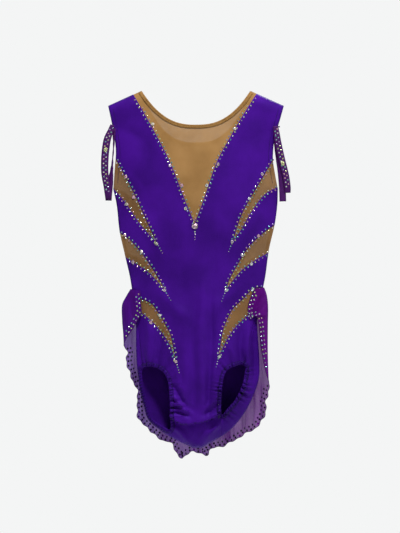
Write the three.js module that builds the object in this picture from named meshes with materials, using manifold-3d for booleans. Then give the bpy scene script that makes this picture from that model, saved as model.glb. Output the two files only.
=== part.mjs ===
// A sleeveless rhythmic-gymnastics leotard with a sheer hip skirt, hanging from its shoulders.
// Millimetres, +Z up, +X to the viewer's right, the front faces -Y.
// The origin is midway between the neck ends of the two shoulder seams.
import * as THREE from "three";
import { mergeVertices } from "three/addons/utils/BufferGeometryUtils.js";
import Module from "manifold-3d";

const wasm = await Module();
wasm.setup();

// ---- Driving dimensions -------------------------------------------------------------------

const GAP = 0.3; // between pieces that are sewn edge to edge or face to face
const FABRIC = 1.2; // thickness of the stretch fabric, seam allowances included
const SHEER = 0.9; // thickness of the skirt cloth and of the linings

const NECK_X = 102; // half the neck width, at the shoulder seams
const SHOULDER_X = 163.5; // half the width across the shoulder tips
const SHOULDER_DROP = 28; // how far the tip lies below the neck end of the seam
const UNDERARM = -183; // heights, measured down from the neck ends of the shoulder seams
const WAIST = -350;
const HIP = -478;
const CROTCH = -665;

const CHEST_HALF = 153; // half widths of the leotard laid flat
const WAIST_HALF = 126.5;
const HIP_HALF = 115;
const LENS_TOP_HALF = 190; // the cloth's curve, carried out past the armhole
const LENS_SHOULDER_HALF = 174;
const LENS_SHOULDER = -60;

const FRONT_DEPTH = { shoulder: 26, chest: 34, waist: 27, hip: 34 };
const BACK_DEPTH = { shoulder: 24, chest: 31, waist: 27, hip: 43 };
const FOLD_HEIGHT = 20; // the cloth rounds over the shoulder within this height
const SEAM_HALF = 0.2; // half the gap between front and back along a side seam
const WRAP_LEVEL = -420; // below this the back panel wraps round to the front

const NECK_FRONT = { depth: 65, fullness: 2.5 };
const NECK_BACK = { depth: 95, fullness: 2.7 };
const NECK_BINDING = 6.7;
const BINDING_STEP = 0.8; // how far a binding stands proud of the fabric beside it

const V_FRONT = { top: 115.5, tip: -250, bow: [42, -120] };
const V_BACK = { top: 119, tip: -292, bow: [52, -132] };

// Each slash starts at the side seam or armhole between two heights, and tapers to its tip.
// The bows are the control points of its two edges.
const SLASHES = {
  upper: { from: -126, to: -179, tip: [70, -281], bowTop: [97, -202], bowBottom: [101, -223] },
  middle: { from: -249, to: -298, tip: [57, -369], bowTop: [79, -293], bowBottom: [82, -318] },
  lower: { from: -365, to: -411, tip: [41.5, -492], bowTop: [47, -404], bowBottom: [56, -428] },
};
const BACK_SLASHES = {
  upper: { from: -126, to: -179, tip: [98, -222], bowTop: [118, -170], bowBottom: [120, -196] },
  middle: { from: -249, to: -298, tip: [84, -330], bowTop: [106, -276], bowBottom: [104, -304] },
  lower: { from: -365, to: -411, tip: [78, -440], bowTop: [92, -392], bowBottom: [92, -416] },
};

const FACING_WIDTH = 7;
const FACING_TOP = -46;
const FACING_BOTTOM = -158;

// Points round each leg opening: from the side line over the top to the crotch and back.
const LEG_OPENING = {
  left: [[-98, 147], [-90, 154], [-70, 153], [-53, 128], [-48.5, 78], [-47, 42], [-68, 47], [-89, 84]],
  right: [[91, 153], [75, 153], [57, 143], [49.5, 105], [49.5, 65], [72, 93], [84, 116]],
};
const LEG_BINDING = 7;
const LEG_ELASTIC = 5;

const GUSSET = { half: 40, frontTop: 48, backTop: 78 }; // heights above the crotch
const BACK_CLEARANCE = 3.4; // how far behind the middle plane the back keeps clear of a leg opening
const GUSSET_LINING = { half: 36, top: 122, bottom: 16 };

const SHOULDER_TAPE = { from: 112, to: 142, half: 2, below: 1.5, thick: 1.2 };
const SIDE_SEAM = { inset: 2.2, width: 5, thick: 0.8 };

const SKIRT_TOP = -371;
const SKIRT_CLEAR = 1.8; // how far the skirt stands off the middle plane at its side folds
const SKIRT_STAND = 1.5; // how much fuller the skirt is than the leotard at the waist
const CORNER_STAND = -1.6; // the stitched-down front corners are drawn in a little instead
const SKIRT_TAPE = 7;
// The hem of the back sheet below SKIRT_TOP, from the left side fold to the right one.
const SKIRT_HEM = [
  [-126, 0], [-137, -28], [-136, -90], [-126, -128], [-112, -175], [-109, -228], [-86, -262],
  [-56, -281], [-24, -311], [0, -300], [22, -306], [52, -288], [80, -268], [112, -242],
  [130, -214], [134, -170], [135.5, -95], [135, -28], [127, 0],
];
const SKIRT_SIDE = { seam: 128, hip: 138, lower: 134 }; // half widths of the skirt's curve
const SKIRT_BACK_HEM_DEPTH = 52;
// The stitched-down front corners, outboard of their free edge.
const SKIRT_CORNER = {
  left: [[-104, 0], [-104, -50], [-122, -72], [-134, -96], [-150, -96], [-150, 0]],
  right: [[100, 0], [98, -48], [116, -58], [124, -100], [132, -150], [150, -150], [150, 0]],
};

const BAND = { width: 12, thick: 1, frontY: -12.8, backY: -7.2, turn: 1.6 };
const BAND_PIVOT = { level: -68, out: 7 }; // the tack's height, and how far it stands off the armhole
const TACK = { half: 1.2, ends: 0.6, roundSteps: 5 };
const BANDS = {
  crystal: { length: 104, lean: 9, bow: 7 },
  plain: { length: 131, lean: 6, bow: 0 },
};

const STONE_HEIGHT = 0.45; // of a flat-back stone, as a share of its radius
const STONE_TABLE = 0.55; // the flat top, as a share of its radius
const STONE_SIDES = 6;
const STONE_R = { centre: 6, accent: 2.8, tip: 2.5 };

// ---- Small helpers ------------------------------------------------------------------------

const clamp = (value, low, high) => Math.min(high, Math.max(low, value));
const v2 = (x, z) => new THREE.Vector2(x, z);
const mirrored = (points) => points.map((p) => v2(-p.x, p.y)).reverse();

// A smooth curve through [at, value] stations that run downwards.
function through(stations) {
  const slope = (i) => {
    const [a, b] = [stations[Math.max(i - 1, 0)], stations[Math.min(i + 1, stations.length - 1)]];
    return (b[1] - a[1]) / (b[0] - a[0]);
  };
  return (at) => {
    let i = 0;
    while (i < stations.length - 2 && at < stations[i + 1][0]) i += 1;
    const [a, b] = [stations[i], stations[i + 1]];
    const span = b[0] - a[0];
    const t = clamp((at - a[0]) / span, 0, 1);
    const [t2, t3] = [t * t, t * t * t];
    return (
      (2 * t3 - 3 * t2 + 1) * a[1] + (t3 - 2 * t2 + t) * span * slope(i) +
      (3 * t2 - 2 * t3) * b[1] + (t3 - t2) * span * slope(i + 1)
    );
  };
}

function bezier(from, control, to, steps = 7) {
  return new THREE.QuadraticBezierCurve(v2(...from), v2(...control), v2(...to)).getPoints(steps);
}

// A closed smooth line through points.
function closedThrough(points, steps) {
  const curve = new THREE.CatmullRomCurve3(
    points.map(([x, z]) => new THREE.Vector3(x, z, 0)), true, "centripetal",
  );
  return curve.getPoints(steps).slice(0, -1).map((p) => v2(p.x, p.y));
}

// A closed outline, moved outwards by a distance along its own normals.
function grown(points, distance) {
  const turn = Math.sign(THREE.ShapeUtils.area(points));
  return points.map((p, i) => {
    const before = points[(i + points.length - 1) % points.length];
    const after = points[(i + 1) % points.length];
    const a = p.clone().sub(before).normalize();
    const b = after.clone().sub(p).normalize();
    const normal = v2(a.y + b.y, -a.x - b.x).normalize().multiplyScalar(turn);
    const spread = Math.max(0.4, normal.dot(v2(a.y, -a.x).multiplyScalar(turn)));
    return p.clone().addScaledVector(normal, distance / spread);
  });
}

function solid(geometry) {
  const bare = geometry.clone();
  bare.deleteAttribute("normal");
  bare.deleteAttribute("uv");
  const merged = mergeVertices(bare, 1e-4);
  return new wasm.Manifold(new wasm.Mesh({
    numProp: 3,
    vertProperties: merged.attributes.position.array,
    triVerts: new Uint32Array(merged.index.array),
  }));
}

// A prism over an outline drawn in the front view, from one Y to another.
function prism(points, fromY = -150, toY = 150) {
  const geometry = new THREE.ExtrudeGeometry(new THREE.Shape(points), {
    depth: toY - fromY, bevelEnabled: false, steps: 1,
  });
  geometry.rotateX(Math.PI / 2).translate(0, toY, 0);
  return solid(geometry);
}

// ---- The leotard's form -------------------------------------------------------------------

// How far the shoulder seam lies below the origin at x.
function ridge(x) {
  return -SHOULDER_DROP * Math.max(0, (Math.abs(x) - NECK_X) / (SHOULDER_X - NECK_X));
}

const sideCurve = through([
  [0, LENS_TOP_HALF],
  [LENS_SHOULDER, LENS_SHOULDER_HALF],
  [UNDERARM, CHEST_HALF],
  [(UNDERARM + WAIST) / 2, (CHEST_HALF + WAIST_HALF) / 2],
  [WAIST, WAIST_HALF],
  [(WAIST + HIP) / 2, (WAIST_HALF + HIP_HALF) / 2 - 2.5],
  [HIP, HIP_HALF],
  [HIP - 30, HIP_HALF],
]);

// 1 down to the hip, then the quarter of an ellipse that closes the seat at the crotch.
function seat(z) {
  return z > HIP ? 1 : Math.sqrt(Math.max(0, 1 - ((z - HIP) / (CROTCH - HIP)) ** 2));
}

const MIN_HALF = 10;
function halfWidth(z) {
  return Math.max(MIN_HALF, z > HIP ? sideCurve(z) : HIP_HALF * seat(z));
}

function depthCurve(depth) {
  const curve = through([
    [0, depth.shoulder], [UNDERARM, depth.chest], [WAIST, depth.waist], [HIP, depth.hip],
  ]);
  return (z) => (z > HIP ? curve(z) : depth.hip) * seat(z);
}
const frontDepth = depthCurve(FRONT_DEPTH);
const backDepth = depthCurve(BACK_DEPTH);

// Front and back stand apart above the wrap, and are one cloth below it.
function seamHalf(z) {
  return SEAM_HALF - 3 * SEAM_HALF * clamp((WRAP_LEVEL - 8 - z) / 12, 0, 1);
}

// The cloth's inner face: how far it stands from the middle plane, in front or behind.
function fullness(depth, x, z) {
  const below = clamp((ridge(x) - z) / FOLD_HEIGHT, 0, 1);
  const fold = Math.sqrt(1 - (1 - below) ** 2);
  const across = Math.max(0, 1 - (x / halfWidth(z)) ** 2);
  return seamHalf(z) + depth(z) * across * fold;
}
const frontFace = (x, z) => fullness(frontDepth, x, z);
const backFace = (x, z) => fullness(backDepth, x, z);

const ROWS = [8, 0, -1.2, -3.5, -8, -14, -21, -40, -70, -105, -145];
for (let i = 0; i <= 7; i += 1) ROWS.push(UNDERARM + ((HIP - UNDERARM) * i) / 7);
for (const s of [0.22, 0.42, 0.6, 0.75, 0.87, 0.95, 1]) ROWS.push(HIP + (CROTCH - HIP) * s);
ROWS.push(CROTCH - 3);
const COLUMNS = [-1.07, -1, -0.92, -0.77, -0.55, -0.28, 0];
COLUMNS.push(...COLUMNS.slice(0, -1).reverse().map((u) => -u));
const RIDGE_FADE = 60; // the rows follow the shoulder's slope, less and less down to here

// A closed sheet over a grid of points: side -1 is in front, 1 behind, and the sheet lies
// between two distances from the face.
function sheetOver(grid, side, face, inner, outer) {
  const [rows, columns] = [grid.length, grid[0].length];
  const positions = [];
  for (const offset of [inner, outer]) {
    for (const row of grid) {
      for (const [x, z] of row) positions.push(x, side * (face(x, z) + offset), z);
    }
  }
  const at = (layer, r, c) => layer * rows * columns + r * columns + c;
  const index = [];
  const quad = (a, b, c, d) => index.push(a, b, c, a, c, d);
  for (let r = 0; r < rows - 1; r += 1) {
    for (let c = 0; c < columns - 1; c += 1) {
      quad(at(0, r, c), at(0, r, c + 1), at(0, r + 1, c + 1), at(0, r + 1, c));
      quad(at(1, r, c), at(1, r + 1, c), at(1, r + 1, c + 1), at(1, r, c + 1));
    }
  }
  for (let c = 0; c < columns - 1; c += 1) {
    quad(at(0, 0, c), at(1, 0, c), at(1, 0, c + 1), at(0, 0, c + 1));
    quad(at(0, rows - 1, c), at(0, rows - 1, c + 1), at(1, rows - 1, c + 1), at(1, rows - 1, c));
  }
  for (let r = 0; r < rows - 1; r += 1) {
    quad(at(0, r, 0), at(0, r + 1, 0), at(1, r + 1, 0), at(1, r, 0));
    quad(at(0, r, columns - 1), at(1, r, columns - 1), at(1, r + 1, columns - 1), at(0, r + 1, columns - 1));
  }
  if (side > 0) index.reverse();
  const geometry = new THREE.BufferGeometry();
  geometry.setAttribute("position", new THREE.Float32BufferAttribute(positions, 3));
  geometry.setIndex(index);
  return solid(geometry);
}

const BODY_GRID = ROWS.map((row) => COLUMNS.map((u) => {
  const x = u * halfWidth(row);
  return [x, row + ridge(x) * clamp(1 + row / RIDGE_FADE, 0, 1)];
}));

// The same face as the flat facets between the grid's points lie.
function facetedFace(face, x, z) {
  const r = clamp(ROWS.findIndex((row) => row <= z), 1, ROWS.length - 1);
  const t = (ROWS[r - 1] - z) / (ROWS[r - 1] - ROWS[r]);
  const wide = halfWidth(ROWS[r - 1]) * (1 - t) + halfWidth(ROWS[r]) * t;
  const c = clamp(COLUMNS.findIndex((u) => u >= x / wide), 1, COLUMNS.length - 1);
  const s = (x / wide - COLUMNS[c - 1]) / (COLUMNS[c] - COLUMNS[c - 1]);
  const corner = (row, u) => face(u * halfWidth(row), row);
  const along = (row) => corner(row, COLUMNS[c - 1]) * (1 - s) + corner(row, COLUMNS[c]) * s;
  return along(ROWS[r - 1]) * (1 - t) + along(ROWS[r]) * t;
}
const frontSheet = (inner, outer) => sheetOver(BODY_GRID, -1, frontFace, inner, outer);
const backSheet = (inner, outer) => sheetOver(BODY_GRID, 1, backFace, inner, outer);

// ---- Outlines in the front view -----------------------------------------------------------

const EDGE_INSET = 0.15; // keeps the cut just inside the line where front meets back

// The armhole's edge, from the shoulder tip to the underarm.
const ARMHOLE = new THREE.SplineCurve([
  v2(SHOULDER_X, -SHOULDER_DROP), v2(SHOULDER_X - 10, -SHOULDER_DROP - 32),
  v2(CHEST_HALF - 9, UNDERARM / 2), v2(CHEST_HALF - 7, UNDERARM + 53),
  v2(CHEST_HALF - EDGE_INSET, UNDERARM),
]);
function armholeX(z) {
  const points = ARMHOLE.getPoints(60);
  const i = points.findIndex((p) => p.y < z);
  const [a, b] = [points[i - 1], points[i]];
  return a.x + ((b.x - a.x) * (z - a.y)) / (b.y - a.y);
}

const sideX = (z) => halfWidth(z) - EDGE_INSET;
function outline() {
  const sides = ROWS.filter((z) => z < UNDERARM - 1 && z > CROTCH).map((z) => v2(sideX(z), z));
  const right = [v2(NECK_X, 0), ...ARMHOLE.getPoints(11), ...sides, v2(0, CROTCH + 0.6)];
  return prism([v2(0, 0), ...right, ...mirrored(right.slice(0, -1))]);
}
const OUTLINE = outline();

// Everything above a neckline, lowered by a width.
function neckArea({ depth, fullness: power }, width = 0) {
  const line = [];
  const steps = 10;
  for (let i = -steps; i <= steps; i += 1) {
    const x = (i / steps) * NECK_X;
    line.push(v2(x, -depth * (1 - Math.abs(x / NECK_X) ** power)));
  }
  const area = [v2(-NECK_X - 14, 22), ...line, v2(NECK_X + 14, 22)];
  return prism(width ? grown(area, width) : area);
}

function vArea({ top, tip, bow }, width = 0) {
  const right = bezier([0, tip], bow, [top, -1]);
  const area = [...mirrored(right).slice(0, -1), ...right, v2(top + 9, 22), v2(-top - 9, 22)];
  return prism(width ? grown(area, width) : area);
}

const OUTSIDE = 40; // how far a slash's outline runs past the garment's edge
const edgeX = (z) => (z > UNDERARM ? armholeX(z) : sideX(z));
function slashPoints({ from, to, tip, bowTop, bowBottom }) {
  const upper = bezier([edgeX(from), from], bowTop, tip);
  const lower = bezier(tip, bowBottom, [edgeX(to), to]);
  const upperOut = v2(edgeX(from) + OUTSIDE, from + OUTSIDE / 2);
  const lowerOut = v2(edgeX(to) + OUTSIDE, Math.min(to + 2, to + OUTSIDE / 4));
  return [upperOut, ...upper, ...lower.slice(1), lowerOut];
}
function slashArea(slash, side, width = 0) {
  const points = side > 0 ? slashPoints(slash) : mirrored(slashPoints(slash));
  return prism(width ? grown(points, width) : points);
}

const fromCrotch = (points) => points.map(([x, up]) => [x, CROTCH + up]);
const LEG_LINE = {
  left: closedThrough(fromCrotch(LEG_OPENING.left), 24),
  right: closedThrough(fromCrotch(LEG_OPENING.right), 24),
};
const legArea = (side, width) => prism(width ? grown(LEG_LINE[side], width) : LEG_LINE[side]);

// The part of the front that the back panel wraps round to cover, outboard of a leg opening.
function wrapArea(side, width = 0) {
  const sign = side === "left" ? -1 : 1;
  const points = fromCrotch(LEG_OPENING[side]).map(([x, z]) => v2(x, z));
  const corner = points[0];
  const middle = points.reduce((sum, p) => sum.add(p), v2(0, 0)).divideScalar(points.length);
  const crotch = v2(sign * GUSSET.half, CROTCH + GUSSET.frontTop);
  const area = [
    v2(sign * (HIP_HALF + 60), WRAP_LEVEL), v2(sign * (HIP_HALF - 6), WRAP_LEVEL - 6), corner,
    middle, crotch, v2(sign * GUSSET.half, CROTCH - 20), v2(sign * (HIP_HALF + 60), CROTCH - 20),
  ];
  return prism(grown(area, width));
}

function box(halfX, low, high, width = 0) {
  const [x, bottom, top] = [halfX + width, low - width, high + width];
  return prism([v2(-x, bottom), v2(x, bottom), v2(x, top), v2(-x, top)]);
}

// ---- The pieces ---------------------------------------------------------------------------

const LYCRA = new THREE.MeshStandardMaterial({ color: 0x3f1187, roughness: 0.5, metalness: 0 });
const NUDE_MESH = new THREE.MeshStandardMaterial({ color: 0xa97c4a, roughness: 0.7, metalness: 0 });
const SKIRT_CLOTH = new THREE.MeshStandardMaterial({ color: 0x5a2a86, roughness: 0.6, metalness: 0 });
const LINING = new THREE.MeshStandardMaterial({ color: 0x35106f, roughness: 0.8, metalness: 0 });
const ELASTIC = new THREE.MeshStandardMaterial({ color: 0x2c1158, roughness: 0.8, metalness: 0 });
const THREAD = new THREE.MeshStandardMaterial({ color: 0x1d0a45, roughness: 0.7, metalness: 0 });
const STONE = new THREE.MeshStandardMaterial({ color: 0xcfd8d2, roughness: 0.1, metalness: 0.2 });

const leotard = new THREE.Group();

function add(name, manifold, material) {
  const made = manifold.getMesh();
  const geometry = new THREE.BufferGeometry();
  geometry.setAttribute("position", new THREE.BufferAttribute(made.vertProperties, 3));
  geometry.setIndex(new THREE.BufferAttribute(made.triVerts, 1));
  geometry.computeVertexNormals();
  const mesh = new THREE.Mesh(geometry, material);
  mesh.name = name;
  leotard.add(mesh);
  return mesh;
}

const SIDES = [["left", -1], ["right", 1]];
const frontCloth = frontSheet(0, FABRIC).intersect(OUTLINE);
const backCloth = backSheet(0, FABRIC).intersect(OUTLINE);
const allOf = (areas) => areas.reduce((sum, area) => sum.add(area));

function slashAreas(slashes, width) {
  const each = (slash) => SIDES.map(([, sign]) => slashArea(slash, sign, width));
  return allOf(Object.values(slashes).flatMap(each));
}

const gussetFront = (width) => box(GUSSET.half, CROTCH - 20, CROTCH + GUSSET.frontTop, width);
const gussetBack = (width) => box(GUSSET.half, CROTCH - 20, CROTCH + GUSSET.backTop, width);

function addBodyPanels() {
  const legs = allOf(SIDES.map(([side]) => legArea(side, LEG_BINDING + GAP)));
  const legsBehind = allOf(SIDES.map(([side]) => (
    prism(grown(LEG_LINE[side], LEG_BINDING + GAP), -150, BACK_CLEARANCE)
  )));
  const wraps = allOf(SIDES.map(([side]) => wrapArea(side, GAP)));
  const front = frontCloth
    .subtract(vArea(V_FRONT, GAP)).subtract(slashAreas(SLASHES, GAP))
    .subtract(legs).subtract(wraps).subtract(gussetFront(GAP));
  add("front_body", front, LYCRA);

  const wrapped = allOf(SIDES.map(([side]) => frontCloth.intersect(wrapArea(side))))
    .subtract(legs).subtract(gussetFront(GAP));
  const back = backCloth
    .subtract(vArea(V_BACK, GAP)).subtract(slashAreas(BACK_SLASHES, GAP))
    .subtract(gussetBack(GAP)).subtract(legsBehind).add(wrapped);
  add("back_body", back, LYCRA);

  const gusset = frontCloth.intersect(gussetFront()).subtract(legs)
    .add(backCloth.intersect(gussetBack()));
  add("gusset", gusset, LYCRA);
  const lining = box(GUSSET_LINING.half, CROTCH + GUSSET_LINING.bottom, CROTCH + GUSSET_LINING.top);
  add("gusset_lining", frontSheet(-GAP - SHEER, -GAP).intersect(lining), LINING);
}

function addMeshInserts() {
  const bound = NECK_BINDING + GAP;
  add("front_neck_mesh",
    frontCloth.intersect(vArea(V_FRONT)).subtract(neckArea(NECK_FRONT, bound)), NUDE_MESH);
  add("back_yoke_mesh",
    backCloth.intersect(vArea(V_BACK)).subtract(neckArea(NECK_BACK, bound)), NUDE_MESH);
  for (const [side, sign] of SIDES) {
    for (const level of Object.keys(SLASHES)) {
      add(`${side}_${level}_front_mesh`,
        frontCloth.intersect(slashArea(SLASHES[level], sign)), NUDE_MESH);
      add(`${side}_${level}_back_mesh`,
        backCloth.intersect(slashArea(BACK_SLASHES[level], sign)), NUDE_MESH);
    }
  }
}

function addBindings() {
  const bound = (sheet, neck) => sheet(0, FABRIC + BINDING_STEP).intersect(OUTLINE)
    .intersect(neckArea(neck, NECK_BINDING)).subtract(neckArea(neck));
  add("front_neck_binding", bound(frontSheet, NECK_FRONT), NUDE_MESH);
  add("back_neck_binding", bound(backSheet, NECK_BACK), NUDE_MESH);
  for (const [side] of SIDES) {
    const hole = legArea(side, 0);
    add(`${side}_leg_binding`,
      frontSheet(0, FABRIC + BINDING_STEP).intersect(legArea(side, LEG_BINDING)).subtract(hole), LYCRA);
    const margin = (LEG_BINDING - LEG_ELASTIC) / 2;
    add(`${side}_leg_elastic`,
      frontSheet(-GAP - 1, -GAP).intersect(legArea(side, margin + LEG_ELASTIC))
        .subtract(legArea(side, margin)), ELASTIC);
  }
}

// A strip of lining inside each armhole edge, on the front and on the back.
function addFacings() {
  const steps = 6;
  const edge = [];
  for (let i = 0; i <= steps; i += 1) {
    const z = FACING_TOP + ((FACING_BOTTOM - FACING_TOP) * i) / steps;
    edge.push(v2(armholeX(z) - 0.4, z));
  }
  const right = [...edge, ...edge.map((p) => v2(p.x - FACING_WIDTH, p.y)).reverse()];
  for (const [side, sign] of SIDES) {
    const area = prism(sign > 0 ? right : mirrored(right));
    add(`${side}_front_armhole_facing`, frontSheet(-GAP - SHEER, -GAP).intersect(area), LINING);
    add(`${side}_back_armhole_facing`, backSheet(-GAP - SHEER, -GAP).intersect(area), LINING);
  }
}

// Tape inside each shoulder seam, and the overlocked edges inside each side seam.
function addSeams() {
  const { from, to, half, below, thick } = SHOULDER_TAPE;
  const tape = [
    v2(from, ridge(from) - below), v2(to, ridge(to) - below),
    v2(to, ridge(to) - below - thick), v2(from, ridge(from) - below - thick),
  ];
  const levels = ROWS.filter((z) => z < UNDERARM - 8 && z > WRAP_LEVEL);
  const outer = levels.map((z) => v2(halfWidth(z) - SIDE_SEAM.inset, z));
  const seam = [...outer, ...outer.map((p) => v2(p.x - SIDE_SEAM.width, p.y)).reverse()];
  for (const [side, sign] of SIDES) {
    const placed = (points) => (sign > 0 ? points : mirrored(points));
    add(`${side}_shoulder_tape`, prism(placed(tape), -half, half), ELASTIC);
    add(`${side}_side_seam`, prism(placed(seam), -SIDE_SEAM.thick / 2, SIDE_SEAM.thick / 2), THREAD);
  }
}

const skirtSide = through([
  [SKIRT_TOP + 20, SKIRT_SIDE.seam], [SKIRT_TOP, SKIRT_SIDE.seam],
  [SKIRT_TOP - 45, SKIRT_SIDE.hip], [SKIRT_TOP - 120, SKIRT_SIDE.hip],
  [SKIRT_TOP - 330, SKIRT_SIDE.lower],
]);
const skirtDepth = through([
  ...[SKIRT_TOP + 20, SKIRT_TOP, SKIRT_TOP - 40].map((z) => [z, backDepth(z) + SKIRT_STAND]),
  [HIP, backDepth(HIP) + 4 * SKIRT_STAND], [SKIRT_TOP - 330, SKIRT_BACK_HEM_DEPTH],
]);
const cornerDepth = (z) => frontDepth(z) + CORNER_STAND;
function skirtFace(depth) {
  return (x, z) => SKIRT_CLEAR + depth(z) * Math.max(0, 1 - (x / skirtSide(z)) ** 2);
}
const skirtBackFace = skirtFace(skirtDepth);

const SKIRT_ROWS = [12, 0, -14, -30, -50, -75, -105, -140, -180, -220, -260, -300, -330];
const SKIRT_COLUMNS = [-1.12, -1, -0.9, -0.75, -0.55, -0.35, -0.12, 0.12, 0.35, 0.55, 0.75, 0.9, 1, 1.12];
const SKIRT_GRID = SKIRT_ROWS.map((row) => SKIRT_COLUMNS.map((u) => (
  [u * skirtSide(SKIRT_TOP + row), SKIRT_TOP + row]
)));

function addSkirt() {
  const placed = (points) => points.map(([x, below]) => v2(x, SKIRT_TOP + below));
  const hem = new THREE.SplineCurve(placed(SKIRT_HEM)).getPoints(54);
  add("skirt", sheetOver(SKIRT_GRID, 1, skirtBackFace, 0, SHEER).intersect(prism(hem)), SKIRT_CLOTH);
  const reach = prism(grown(hem, 0.01));
  for (const [side, sign] of SIDES) {
    const corner = placed(SKIRT_CORNER[side]);
    const area = prism(sign > 0 ? corner : corner.reverse()).intersect(reach);
    const cloth = sheetOver(SKIRT_GRID, -1, skirtFace(cornerDepth), 0, SHEER);
    add(`${side}_skirt_corner`, cloth.intersect(area), SKIRT_CLOTH);
  }
  const tape = box(skirtSide(SKIRT_TOP) - 6, SKIRT_TOP + GAP, SKIRT_TOP + SKIRT_TAPE);
  add("skirt_seam_tape",
    backSheet(FABRIC + GAP, FABRIC + GAP + SHEER).intersect(OUTLINE).intersect(tape), LINING);
}

// ---- Arm bands ----------------------------------------------------------------------------

// A flat ribbon along a route that runs in y and z: its width lies along x.
function ribbon(route, width, thick) {
  const positions = [];
  const index = [];
  const last = route.length - 1;
  route.forEach((p, i) => {
    const [before, after] = [route[Math.max(i - 1, 0)], route[Math.min(i + 1, last)]];
    const along = v2(after.y - before.y, after.z - before.z).normalize();
    for (const [across, out] of [[-0.5, 0.5], [0.5, 0.5], [0.5, -0.5], [-0.5, -0.5]]) {
      const lift = out * thick;
      positions.push(p.x + across * width, p.y + along.y * lift, p.z - along.x * lift);
    }
  });
  for (let i = 0; i < last; i += 1) {
    for (let k = 0; k < 4; k += 1) {
      const [a, b] = [i * 4 + k, i * 4 + ((k + 1) % 4)];
      index.push(a, b + 4, b, a, a + 4, b + 4);
    }
  }
  const end = last * 4;
  index.push(0, 1, 2, 0, 2, 3, end, end + 2, end + 1, end, end + 3, end + 2);
  const geometry = new THREE.BufferGeometry();
  geometry.setAttribute("position", new THREE.Float32BufferAttribute(positions, 3));
  geometry.setIndex(index);
  return solid(geometry);
}

const PIVOT_X = armholeX(BAND_PIVOT.level) + BAND_PIVOT.out;
const BAND_TOP = BAND_PIVOT.level - TACK.half - GAP;

// A point of a band's middle line at a distance below the tack.
function bandPoint({ length, lean, bow }, below, sign, y) {
  const t = below / length;
  const x = PIVOT_X + lean * t + bow * Math.sin(Math.PI * t);
  return new THREE.Vector3(sign * x, y, BAND_TOP - below);
}

// The crystal half hangs in front. The plain half hangs behind, turns up under it and meets it.
function bandRoutes(sign) {
  const { crystal, plain } = BANDS;
  const steps = 9;
  const shares = Array.from({ length: steps + 1 }, (_, i) => i / steps);
  const front = shares.map((t) => bandPoint(crystal, t * crystal.length, sign, BAND.frontY));
  const low = plain.length - BAND.turn;
  const back = shares.map((t) => bandPoint(plain, t * low, sign, BAND.backY));
  back.push(bandPoint(plain, plain.length, sign, BAND.backY - BAND.turn));
  back.push(bandPoint(plain, plain.length, sign, BAND.frontY + BAND.turn));
  back.push(bandPoint(plain, low, sign, BAND.frontY));
  back.push(bandPoint(plain, crystal.length + GAP, sign, BAND.frontY));
  return { crystal: front, plain: back };
}

function addArmBands() {
  const { level, out } = BAND_PIVOT;
  // The bar's outer end is round about the pivot, so that the bands turn clear of it.
  const round = Array.from({ length: TACK.roundSteps + 1 }, (_, i) => {
    const turn = Math.PI * (i / TACK.roundSteps - 0.5);
    return v2(PIVOT_X + TACK.half * Math.cos(turn), level + TACK.half * Math.sin(turn));
  });
  const inner = PIVOT_X - out + 2 * GAP;
  const bar = [v2(inner, level - TACK.half), ...round, v2(inner, level + TACK.half)];
  for (const [side, sign] of SIDES) {
    for (const [kind, route] of Object.entries(bandRoutes(sign))) {
      add(`${side}_${kind}_arm_band`, ribbon(route, BAND.width, BAND.thick), SKIRT_CLOTH);
    }
    add(`${side}_band_tack`, prism(
      sign > 0 ? bar : mirrored(bar), BAND.frontY - TACK.ends, BAND.backY + TACK.ends,
    ), THREAD);
  }
}

// ---- Accent stones ------------------------------------------------------------------------

function stone(radius) {
  const height = radius * STONE_HEIGHT;
  const profile = [
    v2(0, 0), v2(radius * 0.94, 0), v2(radius, height * 0.3), v2(radius * STONE_TABLE, height),
    v2(0, height),
  ];
  return solid(new THREE.LatheGeometry(profile, STONE_SIDES).rotateX(Math.PI));
}

// Sets a stone flat on the front's outer face, leaning with the cloth.
function addStone(name, radius, x, z) {
  const outer = (px, pz) => facetedFace(frontFace, px, pz) + FABRIC;
  const step = radius;
  const slopeX = (outer(x + step, z) - outer(x - step, z)) / (2 * step);
  const slopeZ = (outer(x, z + step) - outer(x, z - step)) / (2 * step);
  const normal = new THREE.Vector3(-slopeX, -1, -slopeZ).normalize();
  const turn = new THREE.Quaternion().setFromUnitVectors(new THREE.Vector3(0, -1, 0), normal);
  const place = new THREE.Vector3(x, -outer(x, z), z).addScaledVector(normal, GAP);
  const matrix = new THREE.Matrix4().compose(place, turn, new THREE.Vector3(1, 1, 1));
  add(name, stone(radius).transform(matrix.toArray()), STONE);
}

const EDGE_ROOM = 4.2; // from a seam to the middle of an accent stone beside it
function besideCurve(points, share, room) {
  const at = clamp(share, 0, 1) * (points.length - 1);
  const i = Math.min(points.length - 2, Math.floor(at));
  const [a, b] = [points[i], points[i + 1]];
  const along = b.clone().sub(a).normalize();
  return a.clone().lerp(b, at - i).add(v2(along.y, -along.x).multiplyScalar(room));
}

function addStones() {
  addStone("centre_stone", STONE_R.centre, 0, V_FRONT.tip - STONE_R.centre - 1);
  const edge = bezier([0, V_FRONT.tip], V_FRONT.bow, [V_FRONT.top, -1], 24);
  [0.18, 0.42, 0.62].forEach((share, i) => {
    const p = besideCurve(edge, share, EDGE_ROOM);
    addStone(`right_neck_stone_${i + 1}`, STONE_R.accent, p.x, p.y);
    addStone(`left_neck_stone_${i + 1}`, STONE_R.accent, -p.x, p.y);
  });
  for (const [level, slash] of Object.entries(SLASHES)) {
    const [x, z] = [slash.tip[0] - STONE_R.tip - 1, slash.tip[1] - STONE_R.tip - 1.5];
    addStone(`right_${level}_tip_stone`, STONE_R.tip, x, z);
    addStone(`left_${level}_tip_stone`, STONE_R.tip, -x, z);
  }
}

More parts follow.
